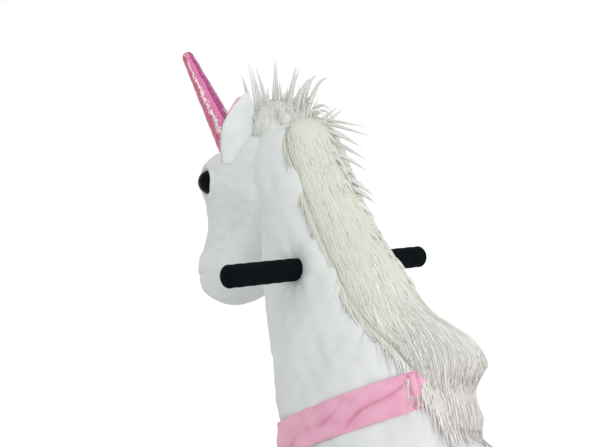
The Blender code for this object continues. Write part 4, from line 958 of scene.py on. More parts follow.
class RIDE_ON_OT_band(bpy.types.Operator):
    """Adds the satin band round the chest, with its stitched joint"""

    bl_idname = "ride_on.band"
    bl_label = "Breast band"

    def execute(self, context):
        v = np.linspace(0, 1, 26)[:, None]
        t = ring_angles(440)
        points = band_points(v, t, lift=0.0020)
        band = grid_object("breast_band_satin", points)
        face_away(band, band_heart)
        # Painted shade for the satin: darkest in the valleys of the folds, towards the band's middle.
        crease = np.sin(math.pi * v) ** 0.5 * (1 - band_slant(points, v)) ** 2.5
        add_attribute(band, "crease", crease * np.clip(0.36 + 0.30 * waves(points, 0.05, 23), 0, 1))
        thicken(band, thickness=0.0016)
        dress(band, pink_cloth(), None, ("breast_band",))
        turn_with_neck(band)
        for side, level in (("lower", 0.0), ("upper", 1.0)):
            edge = band_points(np.full_like(t, level), t, lift=0.0030)[0]
            hem = tube_along("breast_band_%s_hem" % side, edge, radius=0.0013, sides=8)
            dress(hem, pink_cloth())
            turn_with_neck(hem)
        joint_v = np.linspace(0.03, 0.97, 30)
        half_width = 0.0075
        out = half_width * np.array([-1.0, -0.35, 0.35, 1.0])
        rise = np.array([0.0030, 0.0046, 0.0046, 0.0030])
        for side, sign in both_sides:
            joint_t = sign * (joint_turn + out / joint_radius) + 0 * joint_v[:, None]
            points = band_points(joint_v[:, None], joint_t, rise)
            patch = grid_object("band_joint_" + side, points, wrap=False)
            face_away(patch, band_heart)
            thicken(patch, thickness=0.0012)
            dress(patch, pink_cloth())
            turn_with_neck(patch)
            for edge, place in (("front", -0.0050), ("back", 0.0050)):
                turn = sign * (joint_turn + place / joint_radius)
                stitches("band_%s_stitch_%s" % (edge, side), joint_v[1], joint_v[-2], turn)
        return {"FINISHED"}


def stitches(name, low, high, turn):
    """A row of thread stitches across the band at a round angle: 14 raised beads with dips between."""
    count = 14
    steps = 6
    thread_radius = 0.0007
    v = np.linspace(low, high, count * steps)
    t = np.full_like(v, turn)
    phase = np.arange(count * steps) % steps
    middle = band_points(v, t, lift=0.0058)
    along = np.gradient(middle, axis=0)
    along /= np.linalg.norm(along, axis=1)[:, None]
    out = band_points(v, t, lift=0.0068) - middle
    out /= np.linalg.norm(out, axis=1)[:, None]
    side = np.cross(along, out)
    bead = np.where(phase < 4, np.sin(math.pi * (phase + 0.7) / 5.0), 0.08)
    rings = rings_round(middle, side, out, bead[:, None, None] * thread_radius, sides=6)
    thread = grid_object(name, rings, poles=(middle[0], middle[-1]))
    look = material(satin, "Stitching thread", "#E2A0BC", "#D48CAB")
    dress(thread, look)
    turn_with_neck(thread)


# Ends of the seat and its cloth ahead of the steering axis, and how far round the body they reach.
saddle_front = -0.268
saddle_back = -0.457
saddle_reach = 0.98
cloth_front = -0.262
cloth_back = -0.426
cloth_reach = 1.92
barrel_heart = (0.0, -0.34, 0.40)


def at_forward(target, t):
    """Places on the coat at a distance ahead of the steering axis, on the back and flanks."""
    return coat.find(t, target, lambda points: points[..., 1], 0.02, 0.60)


def saddle_ends(q):
    """1 along most of the seat, falling to 0 at its two ends."""
    return np.clip(1 - np.abs(2 * q - 1) ** 5, 0.0, 1.0)


def saddle_points(q, p):
    """The padded seat: a closed section over the back, its edge at round angle reach * cos p.

    Its height over the cloth is H(q) sin(p)^0.75, low at the front and raised at the back, with two sewn
    channels along it and one across, and both its ends drawn in.
    """
    ends = saddle_ends(q)
    t = saddle_reach * ends**0.22 * np.cos(p)
    forward = saddle_front + (saddle_back - saddle_front) * q + 0.010 * np.cos(t * 1.6) * (q - 0.5)
    height = 0.008 + 0.009 * smoothstep(q, 0.05, 0.50) + 0.024 * smoothstep(q, 0.60, 0.93)
    height = height * ends**0.5
    top = np.sin(p) > 0
    crown = np.where(top, height * np.abs(np.sin(p)) ** 0.75, -0.0005 * np.abs(np.sin(p)))
    channel = bell(np.abs(t) - 0.42, 0.035) * smoothstep(q, 0.06, 0.16) * smoothstep(-q, -0.94, -0.86)
    across = bell(q - 0.60, 0.016) * smoothstep(-np.abs(t), -0.46, -0.40)
    crown = crown - np.where(top, 0.0034 * np.maximum(channel, across) * ends, 0.0)
    s = at_forward(forward, t)
    points = coat.points(s, t)
    soft = np.where(top, 0.0008 * waves(points, 0.05, 31) + 0.0003 * waves(points, 0.015, 32), 0.0)
    return coat.above(s, t, 0.0038 + crown + soft * ends)


class RIDE_ON_OT_saddle(bpy.types.Operator):
    """Adds the padded satin seat, its piping and the cloth whose ends hang as flaps"""

    bl_idname = "ride_on.saddle"
    bl_label = "Saddle"

    def execute(self, context):
        points = saddle_points(row_steps(150), ring_angles(220, 0.5))
        poles = [saddle_points(np.array([end]), np.array([math.pi / 2]))[0] for end in (0.001, 0.999)]
        seat = grid_object("saddle_pad", points, poles=poles)
        dress(seat, pink_cloth(), "chassis", ("saddle_seat",))
        turn = ring_angles(260)[0]
        edge_q = 0.5 - 0.493 * np.sign(np.cos(turn)) * np.abs(np.cos(turn)) ** 0.45
        reach = saddle_reach * saddle_ends(edge_q) ** 0.22
        edge_t = reach * np.sign(np.sin(turn)) * np.abs(np.sin(turn)) ** 0.45 * 1.015
        forward = saddle_front + (saddle_back - saddle_front) * edge_q
        path = coat.above(at_forward(forward, edge_t), edge_t, np.full_like(edge_t, 0.0060))
        piping = tube_along("saddle_piping", path, radius=0.0028, sides=12)
        rope = material(satin, "Piping satin", "#D98DB0", "#C9779E")
        dress(piping, rope, "chassis")
        self.add_cloth()
        return {"FINISHED"}

    def add_cloth(self):
        """The cloth under the seat: flat on the back, then hanging in soft folds that deepen downwards."""
        rows, columns = 70, 300
        q = np.linspace(0, 1, rows)[:, None]
        t = (cloth_reach * np.linspace(-1, 1, columns))[None]
        rounded = 0.10 * smoothstep(np.abs(t), 1.55, cloth_reach) * (2 * q - 1)
        forward = cloth_front + (cloth_back - cloth_front) * q - 0.06 * rounded
        forward = forward - 0.020 * smoothstep(np.abs(t), 1.0, cloth_reach)
        s = at_forward(forward, np.clip(t, -1.5, 1.5))
        s = np.broadcast_to(s, (rows, columns))
        hang = smoothstep(np.abs(t), 0.9, cloth_reach)
        folds = 0.0030 * hang * (1 + np.sin(q * 15 + 1.2 * np.sign(t)))
        points = coat.above(s, t, 0.0022 + folds + 0.004 * hang)
        cloth = grid_object("saddle_cloth_satin", points, wrap=False)
        face_away(cloth, barrel_heart)
        thicken(cloth, thickness=0.0014)
        look = material(satin, "Pink flap satin", "#E9A9C6", "#DB94B5")
        dress(cloth, look, "chassis", ("saddle_cloth",))
        border = np.concatenate([points[0], points[1:-1, -1], points[-1, ::-1], points[-2:0:-1, 0]])
        hem = tube_along("saddle_cloth_hem", border, radius=0.0016, sides=8)
        dress(hem, look, "chassis")


# The legs, hooves and wheels


wheel_side = 0.080
hoof_half_width = 0.054
hoof_half_length = 0.058
hoof_wall = 0.0028
tyre_wall = 0.0132

# A leg's rings, as Form reads them, round its own middle.
leg_rows = (
    (0.000, 0.1185, 0.000, 0.1185, 0.000, 2.2, 2.2, 0.0, 0.080),
    (0.034, 0.1210, -0.034, 0.1210, 0.031, 2.2, 2.2, 0.0, 0.080),
    (0.043, 0.1330, -0.043, 0.1330, 0.040, 2.2, 2.2, 0.0, 0.080),
    (0.042, 0.1550, -0.041, 0.1550, 0.038, 2.2, 2.2, 0.0, 0.079),
    (0.037, 0.1900, -0.038, 0.1900, 0.0345, 2.2, 2.2, 0.0, 0.078),
    (0.042, 0.2300, -0.043, 0.2300, 0.037, 2.2, 2.2, 0.0, 0.076),
    (0.053, 0.2750, -0.053, 0.2750, 0.045, 2.2, 2.2, 0.0, 0.073),
    (0.061, 0.3150, -0.062, 0.3150, 0.048, 2.2, 2.2, 0.0, 0.069),
    (0.060, 0.3550, -0.064, 0.3550, 0.044, 2.2, 2.2, 0.0, 0.064),
    (0.044, 0.3950, -0.050, 0.3950, 0.032, 2.2, 2.2, 0.0, 0.058),
    (0.000, 0.4250, 0.000, 0.4250, 0.000, 2.2, 2.2, 0.0, 0.055),
)

# How much wider each ring of a rear leg is.
haunch_growth = np.array([1, 1, 1, 1, 1.02, 1.08, 1.14, 1.20, 1.26, 1.26, 1])


def leg_form(centre, growth, sign):
    """A leg's form, its rings moved to its own centre and widened by growth, mirrored by sign."""
    rows = np.array(leg_rows)
    rows[:, 0] = centre + rows[:, 0] * growth
    rows[:, 2] = centre + rows[:, 2] * growth
    rows[:, 8] *= sign
    return Form(rows)


def leg_relief(points, t):
    """Height of a leg over its form: lumps, the seams in front and behind, the hem drawn in below, and the
    gather over it."""
    height = 0.0012 * waves(points, 0.06, 41) + 0.0003 * waves(points, 0.02, 42)
    seam = np.minimum(np.abs(t), np.minimum(np.abs(t - math.pi), full_turn - t)) * 0.045
    height -= 0.0012 * bell(seam, 0.0020)
    height -= 0.0028 * (1 - smoothstep(points[..., 2], 0.126, 0.142))
    ankle = points[..., 2] - 0.142
    return height - 0.0022 * bell(ankle, 0.004) * (1 + 0.5 * np.sin(14 * t))


class RIDE_ON_OT_legs(bpy.types.Operator):
    """Adds the four stuffed legs, which run up into the barrel"""

    bl_idname = "ride_on.legs"
    bl_label = "Legs"

    def execute(self, context):
        for end, centre in both_ends:
            growth = haunch_growth if end == "rear" else np.ones_like(haunch_growth)
            for side, sign in both_sides:
                form = leg_form(centre, growth, sign)
                name = "%s_leg_coat_%s" % (end, side)
                leg = form_object(name, form, leg_relief, rows=150, columns=150)
                dress(leg, plush(), None, ("%s_leg_plush_%s" % (end, side),))
                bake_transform(leg)
        return {"FINISHED"}


def hoof_points(centre, side):
    """A moulded hoof: an open cup whose wall runs down inside, round the rim and up outside.

    Each ring is a superellipse with fullness 2.3, as wide as the hoof's reach at its height.
    """
    heights = np.array([0.0120, 0.0150, 0.0250, 0.0600, 0.0860, 0.0900, 0.0935, 0.1000, 0.1085, 0.1118])
    reaches = np.array([0.975, 0.995, 1.0, 0.935, 0.865, 0.845, 0.862, 0.850, 0.790, 0.700])
    fine = np.linspace(0, 1, 60)
    knots = np.linspace(0, 1, len(heights))
    outer = smooth(knots, np.stack([heights, reaches], -1), fine)
    inner = outer.copy()
    inner[:, 0] = np.minimum(inner[:, 0], heights[-1] - hoof_wall)
    t = ring_angles(120)
    reach = superellipse(t, 2.3)
    rings = []
    for profile, inset in ((inner[::-1], hoof_wall), (outer, 0.0)):
        left = (profile[:, 1:] * hoof_half_width - inset) * reach * np.sin(t)
        ahead = (profile[:, 1:] * hoof_half_length - inset) * reach * np.cos(t)
        flute = 0.0004 * np.sin(24 * t) * smoothstep(-profile[:, :1], -0.088, -0.078) * (inset == 0)
        swell = 1 + flute / 0.05
        rings.append(np.stack([side + left * swell, centre + ahead * swell, profile[:, :1] + 0 * t], -1))
    return np.concatenate(rings)


class RIDE_ON_OT_hooves(bpy.types.Operator):
    """Adds the moulded hooves over the wheels"""

    bl_idname = "ride_on.hooves"
    bl_label = "Hooves"

    def execute(self, context):
        look = material(moulded_plastic, "Moulded hoof", looks().hoof_colour, "#CFC3B4", 0.55, 0.0009)
        for end, centre in both_ends:
            for side, sign in both_sides:
                body = "fork_" + side if end == "front" else "rear_legs"
                points = hoof_points(centre, sign * wheel_side)
                name = "hoof_%s_%s_moulded" % (end, side)
                hoof = grid_object(name, points, poles=end_middles(points))
                dress(hoof, look, body, ("hoof_%s_%s" % (end, side),))
        return {"FINISHED"}


class RIDE_ON_OT_tyres(bpy.types.Operator):
    """Adds the solid rubber tyres with their tread"""

    bl_idname = "ride_on.tyres"
    bl_label = "Tyres"

    def execute(self, context):
        rubber = material(soft_foam, "Solid tyre rubber", "#141618", "#1F2224", 0.75, 0.0016)
        t = ring_angles(168).T
        p = ring_angles(40)
        reach = superellipse(p, 4.0)
        for end, centre in both_ends:
            for side, sign in both_sides:
                low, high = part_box("tyre_%s_%s" % (end, side))
                outer = (high[2] - low[2]) / 2 - 0.0003
                half = (high[0] - low[0]) / 2
                inner = outer - tyre_wall
                across = half * reach * np.sin(p)
                radius = (outer + inner) / 2 + (outer - inner) / 2 * reach * np.cos(p)
                face = smoothstep(radius, outer - 0.003, outer - 0.001)
                slot = smoothstep(np.sin(42 * t + 26 * across / half * 0.06), 0.55, 0.85)
                groove = bell(across, 0.0010)
                radius = radius - 0.0009 * face * np.maximum(slot, groove)
                points = np.stack([sign * wheel_side + across + 0 * t, centre + radius * np.sin(t),
                                   (high[2] + low[2]) / 2 + radius * np.cos(t)], -1)
                tyre = grid_object("tyre_%s_%s_treaded" % (end, side), points, wrap_rows=True)
                body = "wheel_%s_%s" % (end, side)
                dress(tyre, rubber, body, ("tyre_%s_%s" % (end, side),))
        return {"FINISHED"}


class RIDE_ON_OT_footrests(bpy.types.Operator):
    """Adds the ribbed rubber footrests"""

    bl_idname = "ride_on.footrests"
    bl_label = "Footrests"

    def execute(self, context):
        rubber = material(soft_foam, "Footrest rubber", "#131618", "#1D2022", 0.8, 0.0012)
        v = np.linspace(0, 1, 90)[:, None]
        p = ring_angles(96, 0.5)
        ends = np.clip(1 - np.abs(2 * v - 1) ** 14, 0, 1) ** 0.5
        reach = superellipse(p, 7.0)
        for side in ("left", "right"):
            low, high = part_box("footrest_" + side)
            ahead = (high[1] - low[1]) / 2 * (1 - 0.06 * (1 - ends)) * reach * np.cos(p)
            up = (high[2] - low[2]) / 2 * (1 - 0.10 * (1 - ends)) * reach * np.sin(p)
            ribs = 0.0007 * (1 + np.sin(v * 52)) * (reach * np.sin(p) > 0.9)
            left = low[0] + (high[0] - low[0]) * v
            points = np.stack([left + 0 * p, ahead, (high[2] + low[2]) / 2 + up - ribs], -1)
            rest = grid_object("footrest_%s_ribbed" % side, points, poles=end_middles(points))
            dress(rest, rubber, "front_legs", ("footrest_" + side,))
        return {"FINISHED"}


class RIDE_ON_OT_grips(bpy.types.Operator):
    """Adds the soft foam grips"""

    bl_idname = "ride_on.grips"
    bl_label = "Grips"

    def execute(self, context):
        foam = material(soft_foam, "Matt foam grip", looks().grip_colour, "#0C1418", 0.85, 0.0010)
        for side, sign in both_sides:
            low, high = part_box("grip_" + side)
            radius = (high[2] - low[2]) / 2
            near = min(abs(low[0]), abs(high[0]))
            far = max(abs(low[0]), abs(high[0]))
            profile = []
            for turn in np.linspace(0, math.pi / 2, 9)[1:]:
                inner = near + 0.004 * (1 - math.cos(turn))
                profile.append((inner, radius * (0.70 + 0.30 * math.sin(turn))))
            for share in np.linspace(0.05, 0.93, 26):
                swell = 0.00025 * math.sin(share * 41)
                profile.append((near + (far - near) * share, radius - 0.0003 + swell))
            for turn in np.linspace(0, math.pi / 2, 12)[1:-1]:
                outer = far - 0.0095 * (1 - math.sin(turn))
                profile.append((outer, radius * (1 - (1 - math.cos(turn)) * 0.9)))
            profile.append((far, 0.0008))
            middle = (0.0, 0.0, handle_height)
            grip = revolved("grip_%s_foam" % side, profile, middle, (sign, 0.0, 0.0), columns=64)
            dress(grip, foam, "steering", ("grip_" + side,))
        return {"FINISHED"}


# Mane, tuft and tail


def crest_places(heights):
    """Places along the coat whose crest lies at the given heights, from the withers up."""
    return coat.find(np.array(0.0), np.asarray(heights), lambda points: points[..., 2], 0.40, 0.995)


# Tips of the locks that stand off the crest: left, ahead and up.
crest_tips = np.array((
    (-0.020, -0.049, 0.864), (-0.020, -0.059, 0.852), (-0.020, -0.042, 0.837), (-0.020, -0.050, 0.821),
    (-0.020, -0.050, 0.807), (-0.020, -0.063, 0.776), (-0.020, -0.069, 0.765), (-0.020, -0.069, 0.745),
))
mane_low, mane_middle, mane_high = crest_places((0.541, 0.640, 0.870))
mane_length = mane_high - mane_low

# The mane's lower edge in shares of its length, and the depth that its heights are written for.
mane_hem = -0.18
usual_depth = 0.018


def mane_turns(s):
    """Middle and half of the angle that the mane covers. It is widest at the poll; towards the withers it
    falls over to the right, so its left edge nears the crest."""
    share = (s - mane_low) / mane_length
    poll = 0.10 * smoothstep(share, 0.75, 1.0)
    left = 0.12 + 0.80 * smoothstep(share, -0.17, 0.58) + poll
    right = 0.88 + 0.04 * smoothstep(share, 0.0, 0.58) + poll
    return (left - right) / 2, (left + right) / 2


def mane_turn(s, across):
    """Round angle at a share across the mane, from -1 at its right edge to 1 at its left."""
    middle, half = mane_turns(s)
    return middle + half * across


def mane_height(s, t):
    """Height of the close fur: full at the withers and the poll, lower between, thin at its edges."""
    share = (s - mane_low) / mane_length
    middle, half = mane_turns(s)
    across = (t - middle) / half
    lump = np.where(share > 0.10, bell(share - 0.10, 0.15), 0.32 + 0.68 * bell(share - 0.10, 0.045))
    lump = 0.034 * lump * (1 - 0.35 * across) * (1 - 0.9 * smoothstep(across, 0.1, 1.0))
    crest = 0.0055 + lump + 0.0045 * bell(share - 1.0, 0.16) + 0.004 * (1 - smoothstep(share, 0.12, 0.28))
    side = np.clip(1 - np.abs(across) ** 2.4, 0.0, 1.0)
    hem = smoothstep(share, mane_hem, mane_hem + 0.12)
    return crest * side**0.5 * hem * sizes().mane_depth / usual_depth


class RIDE_ON_OT_mane(bpy.types.Operator):
    """Adds the mane: close fur over the crest and locks that run down it, with wisps over the band"""

    bl_idname = "ride_on.mane"
    bl_label = "Mane"

    def execute(self, context):
        hem = mane_low + (mane_hem + 0.05) * mane_length
        spans = (("lower", hem, mane_middle + 0.01, 51), ("upper", mane_middle, mane_high, 52))
        for name, low, high, seed in spans:
            self.add_ground(name, low, high)
            self.add_locks(name, low, high, seed)
        self.add_crest()
        self.add_wisps()
        return {"FINISHED"}

    def add_ground(self, name, low, high):
        """The close fur: a closed section over the crest, its edge at the mane's half angle."""
        p = ring_angles(150, 0.5)
        s = low + (high - low) * row_steps(130) + 0 * p
        t = mane_turn(s, np.cos(p))
        height = np.where(np.sin(p) > 0, mane_height(s, t), -0.002)
        grooves = np.sin(t * 95 + 4 * waves(coat.points(s, t), 0.12, 61)) * 0.0003
        height = height + np.where(np.sin(p) > 0, grooves, 0.0)
        points = coat.above(s, t, height)
        ground = grid_object("mane_%s_ground" % name, points, poles=end_middles(points))
        streak = 0.25 + 0.22 * np.sin(t * 210 + 7 * waves(points, 0.10, 62))
        streak = streak + 0.3 * (1 - smoothstep(s, mane_low, mane_middle))
        add_attribute(ground, "streak", streak, (0.2, 0.2))
        dress(ground, close_fur(), None, ("mane_" + name,))
        turn_with_neck(ground)

    def add_locks(self, name, low, high, seed):
        """Locks rooted all over the mane; each runs down the crest, drifts outwards and tapers."""
        draw = np.random.default_rng(seed)
        count = sizes().mane_locks if name == "upper" else sizes().mane_locks // 3
        root = draw.uniform(low + 0.01, high, count)
        spread = draw.uniform(-1, 1, count)
        thin = np.array([0.5, 1.0, 1.1, 1.0, 0.8, 0.5, 0.0])
        step = np.linspace(0, 1, len(thin))[None]
        reach = draw.uniform(0.050, 0.095, count)[:, None]
        t0 = mane_turn(root, spread)[:, None]
        pace = coat.pace(root, t0[:, 0])[:, None]
        s = np.clip(root[:, None] - reach * step / pace, mane_low - 0.015, 0.985)
        swing = draw.normal(0, 0.035, (count, 1))
        drift = 0.16 * t0 * step + swing * step + 0.015 * np.sin(step * draw.uniform(3, 7, (count, 1)))
        t = mane_turn(s, spread[:, None]) + drift
        lift = draw.uniform(0.0, 0.0006, (count, 1))
        inside = mane_height(root[:, None], t0) * draw.uniform(0.6, 1.0, (count, 1))
        rise = lift * np.sin(math.pi * np.clip(step * 1.15, 0, 1))
        height = mane_height(s, t) * (0.75 + 0.25 * step) + rise
        height = np.where(step == 0, inside - 0.002, height + 0.0003)
        edge = np.abs(spread)[:, None]
        height = height + 0.0003 * smoothstep(edge, 0.7, 1.0) * step
        paths = coat.above(s, t, height)
        ups = coat.normals(s, t)
        width = draw.uniform(0.0011, 0.0022, (count, 1)) * thin
        # Painted light: the lower mane's locks are made lighter, to make up for the shade that they cast on each
        # other.
        painted_light_low = 1 - smoothstep(root, mane_low, mane_middle)
        shade = np.clip(draw.normal(0.56, 0.08, count) + 0.36 * painted_light_low, 0, 1)
        locks = hair("mane_%s_locks" % name, paths, ups, width, shade, flatness=0.22)
        dress(locks, fur())
        turn_with_neck(locks)

    def add_crest(self):
        """Tufts that stand off the crest: locks drawn together to points that lean back and down."""
        draw = np.random.default_rng(53)
        small = 18
        place = draw.uniform(0.45, 0.97, small)
        s_root = np.concatenate([crest_places(crest_tips[:, 2] + 0.020), mane_low + mane_length * place])
        t_root = np.concatenate([np.full(len(crest_tips), -0.16), draw.uniform(-0.30, -0.02, small)])
        roots = coat.above(s_root, t_root, mane_height(s_root, t_root) * 0.6)
        length = draw.uniform(0.016, 0.028, small)
        rise = draw.uniform(0.003, 0.009, small) * (0.8 + 0.6 * smoothstep(place, 0.75, 1.0))
        s_tip = s_root[-small:] - length / coat.pace(s_root[-small:], 0 * length)
        top = mane_height(s_tip, t_root[-small:]) + rise
        tips = np.concatenate([crest_tips, coat.above(s_tip, t_root[-small:], top)])
        bow = coat.normals(s_root, t_root) * 0.002
        each = 7
        paths = spiked(draw, roots, tips, each, bow, spread=(0.0016, 0.0020, 0.0020))
        ups = np.array([1.0, 0.0, 0.0]) + 0 * paths
        # Painted light: the crest's tufts are made nearly white, to make up for the shade inside their clumps.
        shade = np.clip(draw.normal(0.92, 0.08, len(paths)), 0, 1)
        width = wedge_widths(draw, len(roots), each) * 1.2
        locks = hair("mane_crest_tufts", paths, ups, width, shade, flatness=0.3)
        dress(locks, fur())
        turn_with_neck(locks)

    def add_wisps(self):
        """The mane's last locks hang over the withers and the band, some in fine points."""
        draw = np.random.default_rng(54)
        count = 1300
        thin = np.array([0.5, 1.0, 1.0, 0.9, 0.8, 0.6, 0.35, 0.0])
        spread = draw.uniform(-1.02, 1.02, count)
        stray = (draw.uniform(0, 1, (count, 1)) < 0.10) * smoothstep(spread, 0.0, 0.5)[:, None]
        root = mane_low + (mane_middle - mane_low) * draw.triangular(-0.35, 0.15, 1.7, count)
        step = np.linspace(0, 1, len(thin))[None]
        t0 = mane_turn(root, spread * 1.02)[:, None]
        reach = draw.uniform(0.040, 0.085, (count, 1))
        reach = reach * (1.25 - 0.55 * smoothstep(spread, -0.3, 0.6))[:, None]
        pace = coat.pace(root, t0[:, 0])[:, None]
        s = root[:, None] - reach * (1 + 0.9 * stray) * step / pace
        t = t0 + 0.10 * t0 * step + draw.normal(0, 0.04, (count, 1)) * step
        t = t + stray * draw.uniform(0.0, 0.22, (count, 1)) * step
        lift = draw.uniform(0.0002, 0.0010, (count, 1))
        top = mane_height(s, t)
        hang = 0.0065 * np.maximum(smoothstep(mane_low - s, -0.08, -0.02), stray * step)
        height = np.maximum(top, hang) + lift * smoothstep(step, 0.0, 0.5) - 0.0015 * (step == 0)
        paths = coat.above(s, t, height)
        width = draw.uniform(0.0008, 0.0016, (count, 1)) * thin * (1 - 0.6 * stray)
        # Painted light: the wisps are made lighter, to make up for the shade under the mane's lump.
        shade = np.clip(draw.normal(0.90, 0.04, count), 0, 1)
        locks = hair("mane_wisps", paths, coat.normals(s, t), width, shade, flatness=0.18)
        dress(locks, fur())
        turn_with_neck(locks)


# Tips of the tuft's long locks: ahead and up.
tuft_tips = np.array((
    (0.196, 0.940), (0.189, 0.949), (0.179, 0.950), (0.171, 0.954), (0.131, 0.959), (0.116, 0.957),
    (0.108, 0.952), (0.083, 0.945), (0.064, 0.946), (0.049, 0.942), (0.023, 0.934), (0.026, 0.929),
    (0.005, 0.929), (0.029, 0.906), (0.027, 0.893), (0.009, 0.886), (-0.003, 0.873), (-0.013, 0.870),
))

# The furry mound on the poll that the tuft stands in.
mound_middle = np.array([0.0, 0.106, 0.860])
mound_size = np.array([0.030, 0.060, 0.042])


def wedge_widths(draw, clumps, each):
    """Half widths of spiked locks: the first of each clump is a broad wedge and the others are fine."""
    wedge = np.array([1.0, 1.0, 0.95, 0.85, 0.70, 0.55, 0.38, 0.20, 0.0])
    fine = np.array([0.8, 1.0, 1.0, 0.95, 0.85, 0.7, 0.5, 0.3, 0.0])
    broad = draw.uniform(0.0028, 0.0040, (clumps, 1, 1)) * wedge
    others = draw.uniform(0.0006, 0.0011, (clumps, each - 1, 1)) * fine
    return np.concatenate([broad, others], 1).reshape(clumps * each, -1)


def spiked(draw, roots, tips, each, bow, spread):
    """Locks drawn together to points: each starts near its clump's root, ends at the clump's tip, and bows
    on the way. The locks of a clump stand apart by (1 - way)^1.15 of their spread at the root."""
    clumps = len(roots)
    rings = 9
    step = np.linspace(0, 1, rings)[None, None, :, None]
    apart = draw.normal(0, 1, (clumps, each, 1, 3)) * np.asarray(spread)
    reach = draw.uniform(0.72, 1.0, (clumps, each, 1, 1)) ** 0.7
    reach[:, 0] = 1.0
    apart[:, 0] = 0.0
    step = step * reach
    middle = roots[:, None, None] + (tips - roots)[:, None, None] * step
    paths = middle + apart * (1 - step) ** 1.15 + bow[:, None, None] * np.sin(math.pi * step)
    return paths.reshape(-1, rings, 3)


class RIDE_ON_OT_tuft(bpy.types.Operator):
    """Adds the tuft between the ears: locks drawn together in a fan of points"""

    bl_idname = "ride_on.tuft"
    bl_label = "Tuft"

    def execute(self, context):
        draw = np.random.default_rng(55)
        each = 7
        long_side = draw.normal(0, 0.006, len(tuft_tips))
        tips = np.column_stack([long_side, tuft_tips])
        low = np.array([0.0, 0.105, 0.868])
        roots = low + (tips - (0.0, 0.095, 0.868)) * (1.0, 0.56, 0.10)
        fillers = 74
        fan = np.linspace(-1, 1, fillers) + draw.normal(0, 0.04, fillers)
        side = draw.normal(0, 0.45, fillers)
        filler_roots = np.stack([side * 0.026, 0.108 + fan * 0.056, 0.868 - 0.012 * fan**2], -1)
        rise = 0.050 - 0.020 * np.abs(fan) ** 2 - 0.010 * np.abs(side) + draw.normal(0, 0.007, fillers)
        filler_tips = filler_roots + np.stack([side * 0.022, fan * 0.026 - 0.004, rise], -1)
        bow = fan[:, None] * (0.0, 0.006, 0.0) + (0.0, 0.0, 0.003)
        long_bow = np.abs(tips[:, 1:2] - 0.14) * 0.11 * (0.0, 0.0, 1.0)
        paths = np.concatenate([
            spiked(draw, roots, tips, each, long_bow, spread=(0.0020, 0.0024, 0.001)),
            spiked(draw, filler_roots, filler_tips, each, bow, spread=(0.0030, 0.0036, 0.001))])
        width = wedge_widths(draw, len(roots) + fillers, each)
        fuzz, fuzz_ups = self.mound_locks(draw)
        thin = np.array([0.6, 1.0, 1.0, 1.0, 0.9, 0.75, 0.55, 0.3, 0.0])
        width = np.concatenate([width, draw.uniform(0.0009, 0.0016, (len(fuzz), 1)) * thin])
        ups = np.broadcast_to(np.array([0.64, -0.76, 0.1]), paths.shape)
        paths = np.concatenate([paths, fuzz])
        ups = np.concatenate([ups, fuzz_ups])
        # Painted light: the tuft's locks are made nearly white, to make up for the shade that they cast on each
        # other.
        shade = np.clip(draw.normal(0.98, 0.05, len(paths)), 0, 1)
        locks = hair("tuft_locks", paths, ups, width, shade, flatness=0.35)
        dress(locks, fur(), "steering", ("forelock",))
        self.add_ground()
        return {"FINISHED"}

    def mound_locks(self, draw):
        """Locks that climb the mound's sides and leave it near the top, and the ways that they face."""
        count, rings = 1500, 9
        around = draw.uniform(0, full_turn, (count, 1))
        low = draw.uniform(-0.25, 0.65, (count, 1))
        step = np.linspace(0, 1, rings)[None]
        climb = low + draw.uniform(0.55, 0.95, (count, 1)) * step
        turn = around + draw.normal(0, 0.10, (count, 1)) * step
        facing = np.stack([np.cos(climb) * np.sin(turn), np.cos(climb) * np.cos(turn), np.sin(climb)], -1)
        away = 1.0 + draw.uniform(0.01, 0.03, (count, 1)) * step + 0.12 * np.clip(step - 0.6, 0, 1) ** 2
        away = np.where(step == 0, 0.93, away)
        return mound_middle + mound_size * facing * away[..., None], facing

    def add_ground(self):
        """A furry mound on the poll, which the tuft's locks stand in."""
        v = row_steps(60) * math.pi
        t = ring_angles(90)
        facing = np.stack([np.sin(v) * np.sin(t), np.sin(v) * np.cos(t), np.cos(v) + 0 * t], -1)
        points = mound_middle + mound_size * facing
        points = points + 0.0016 * waves(points, 0.014, 63)[..., None] * (0, 0, 1)
        ground = grid_object("tuft_ground", points, poles=end_middles(points))
        streak = 0.7 + 0.15 * waves(points * (4, 4, 1), 0.03, 64)
        add_attribute(ground, "streak", streak, (0.4, 0.4))
        dress(ground, close_fur(), "steering")


# The tail's middle line, ahead and up, and its half width.
tail_rows = np.array((
    (-0.474, 0.455, 0.012), (-0.500, 0.459, 0.018), (-0.516, 0.438, 0.022), (-0.522, 0.390, 0.026),
    (-0.522, 0.330, 0.027), (-0.517, 0.275, 0.024), (-0.510, 0.235, 0.016), (-0.504, 0.208, 0.005),
))
tail_knots = np.linspace(0, 1, len(tail_rows))


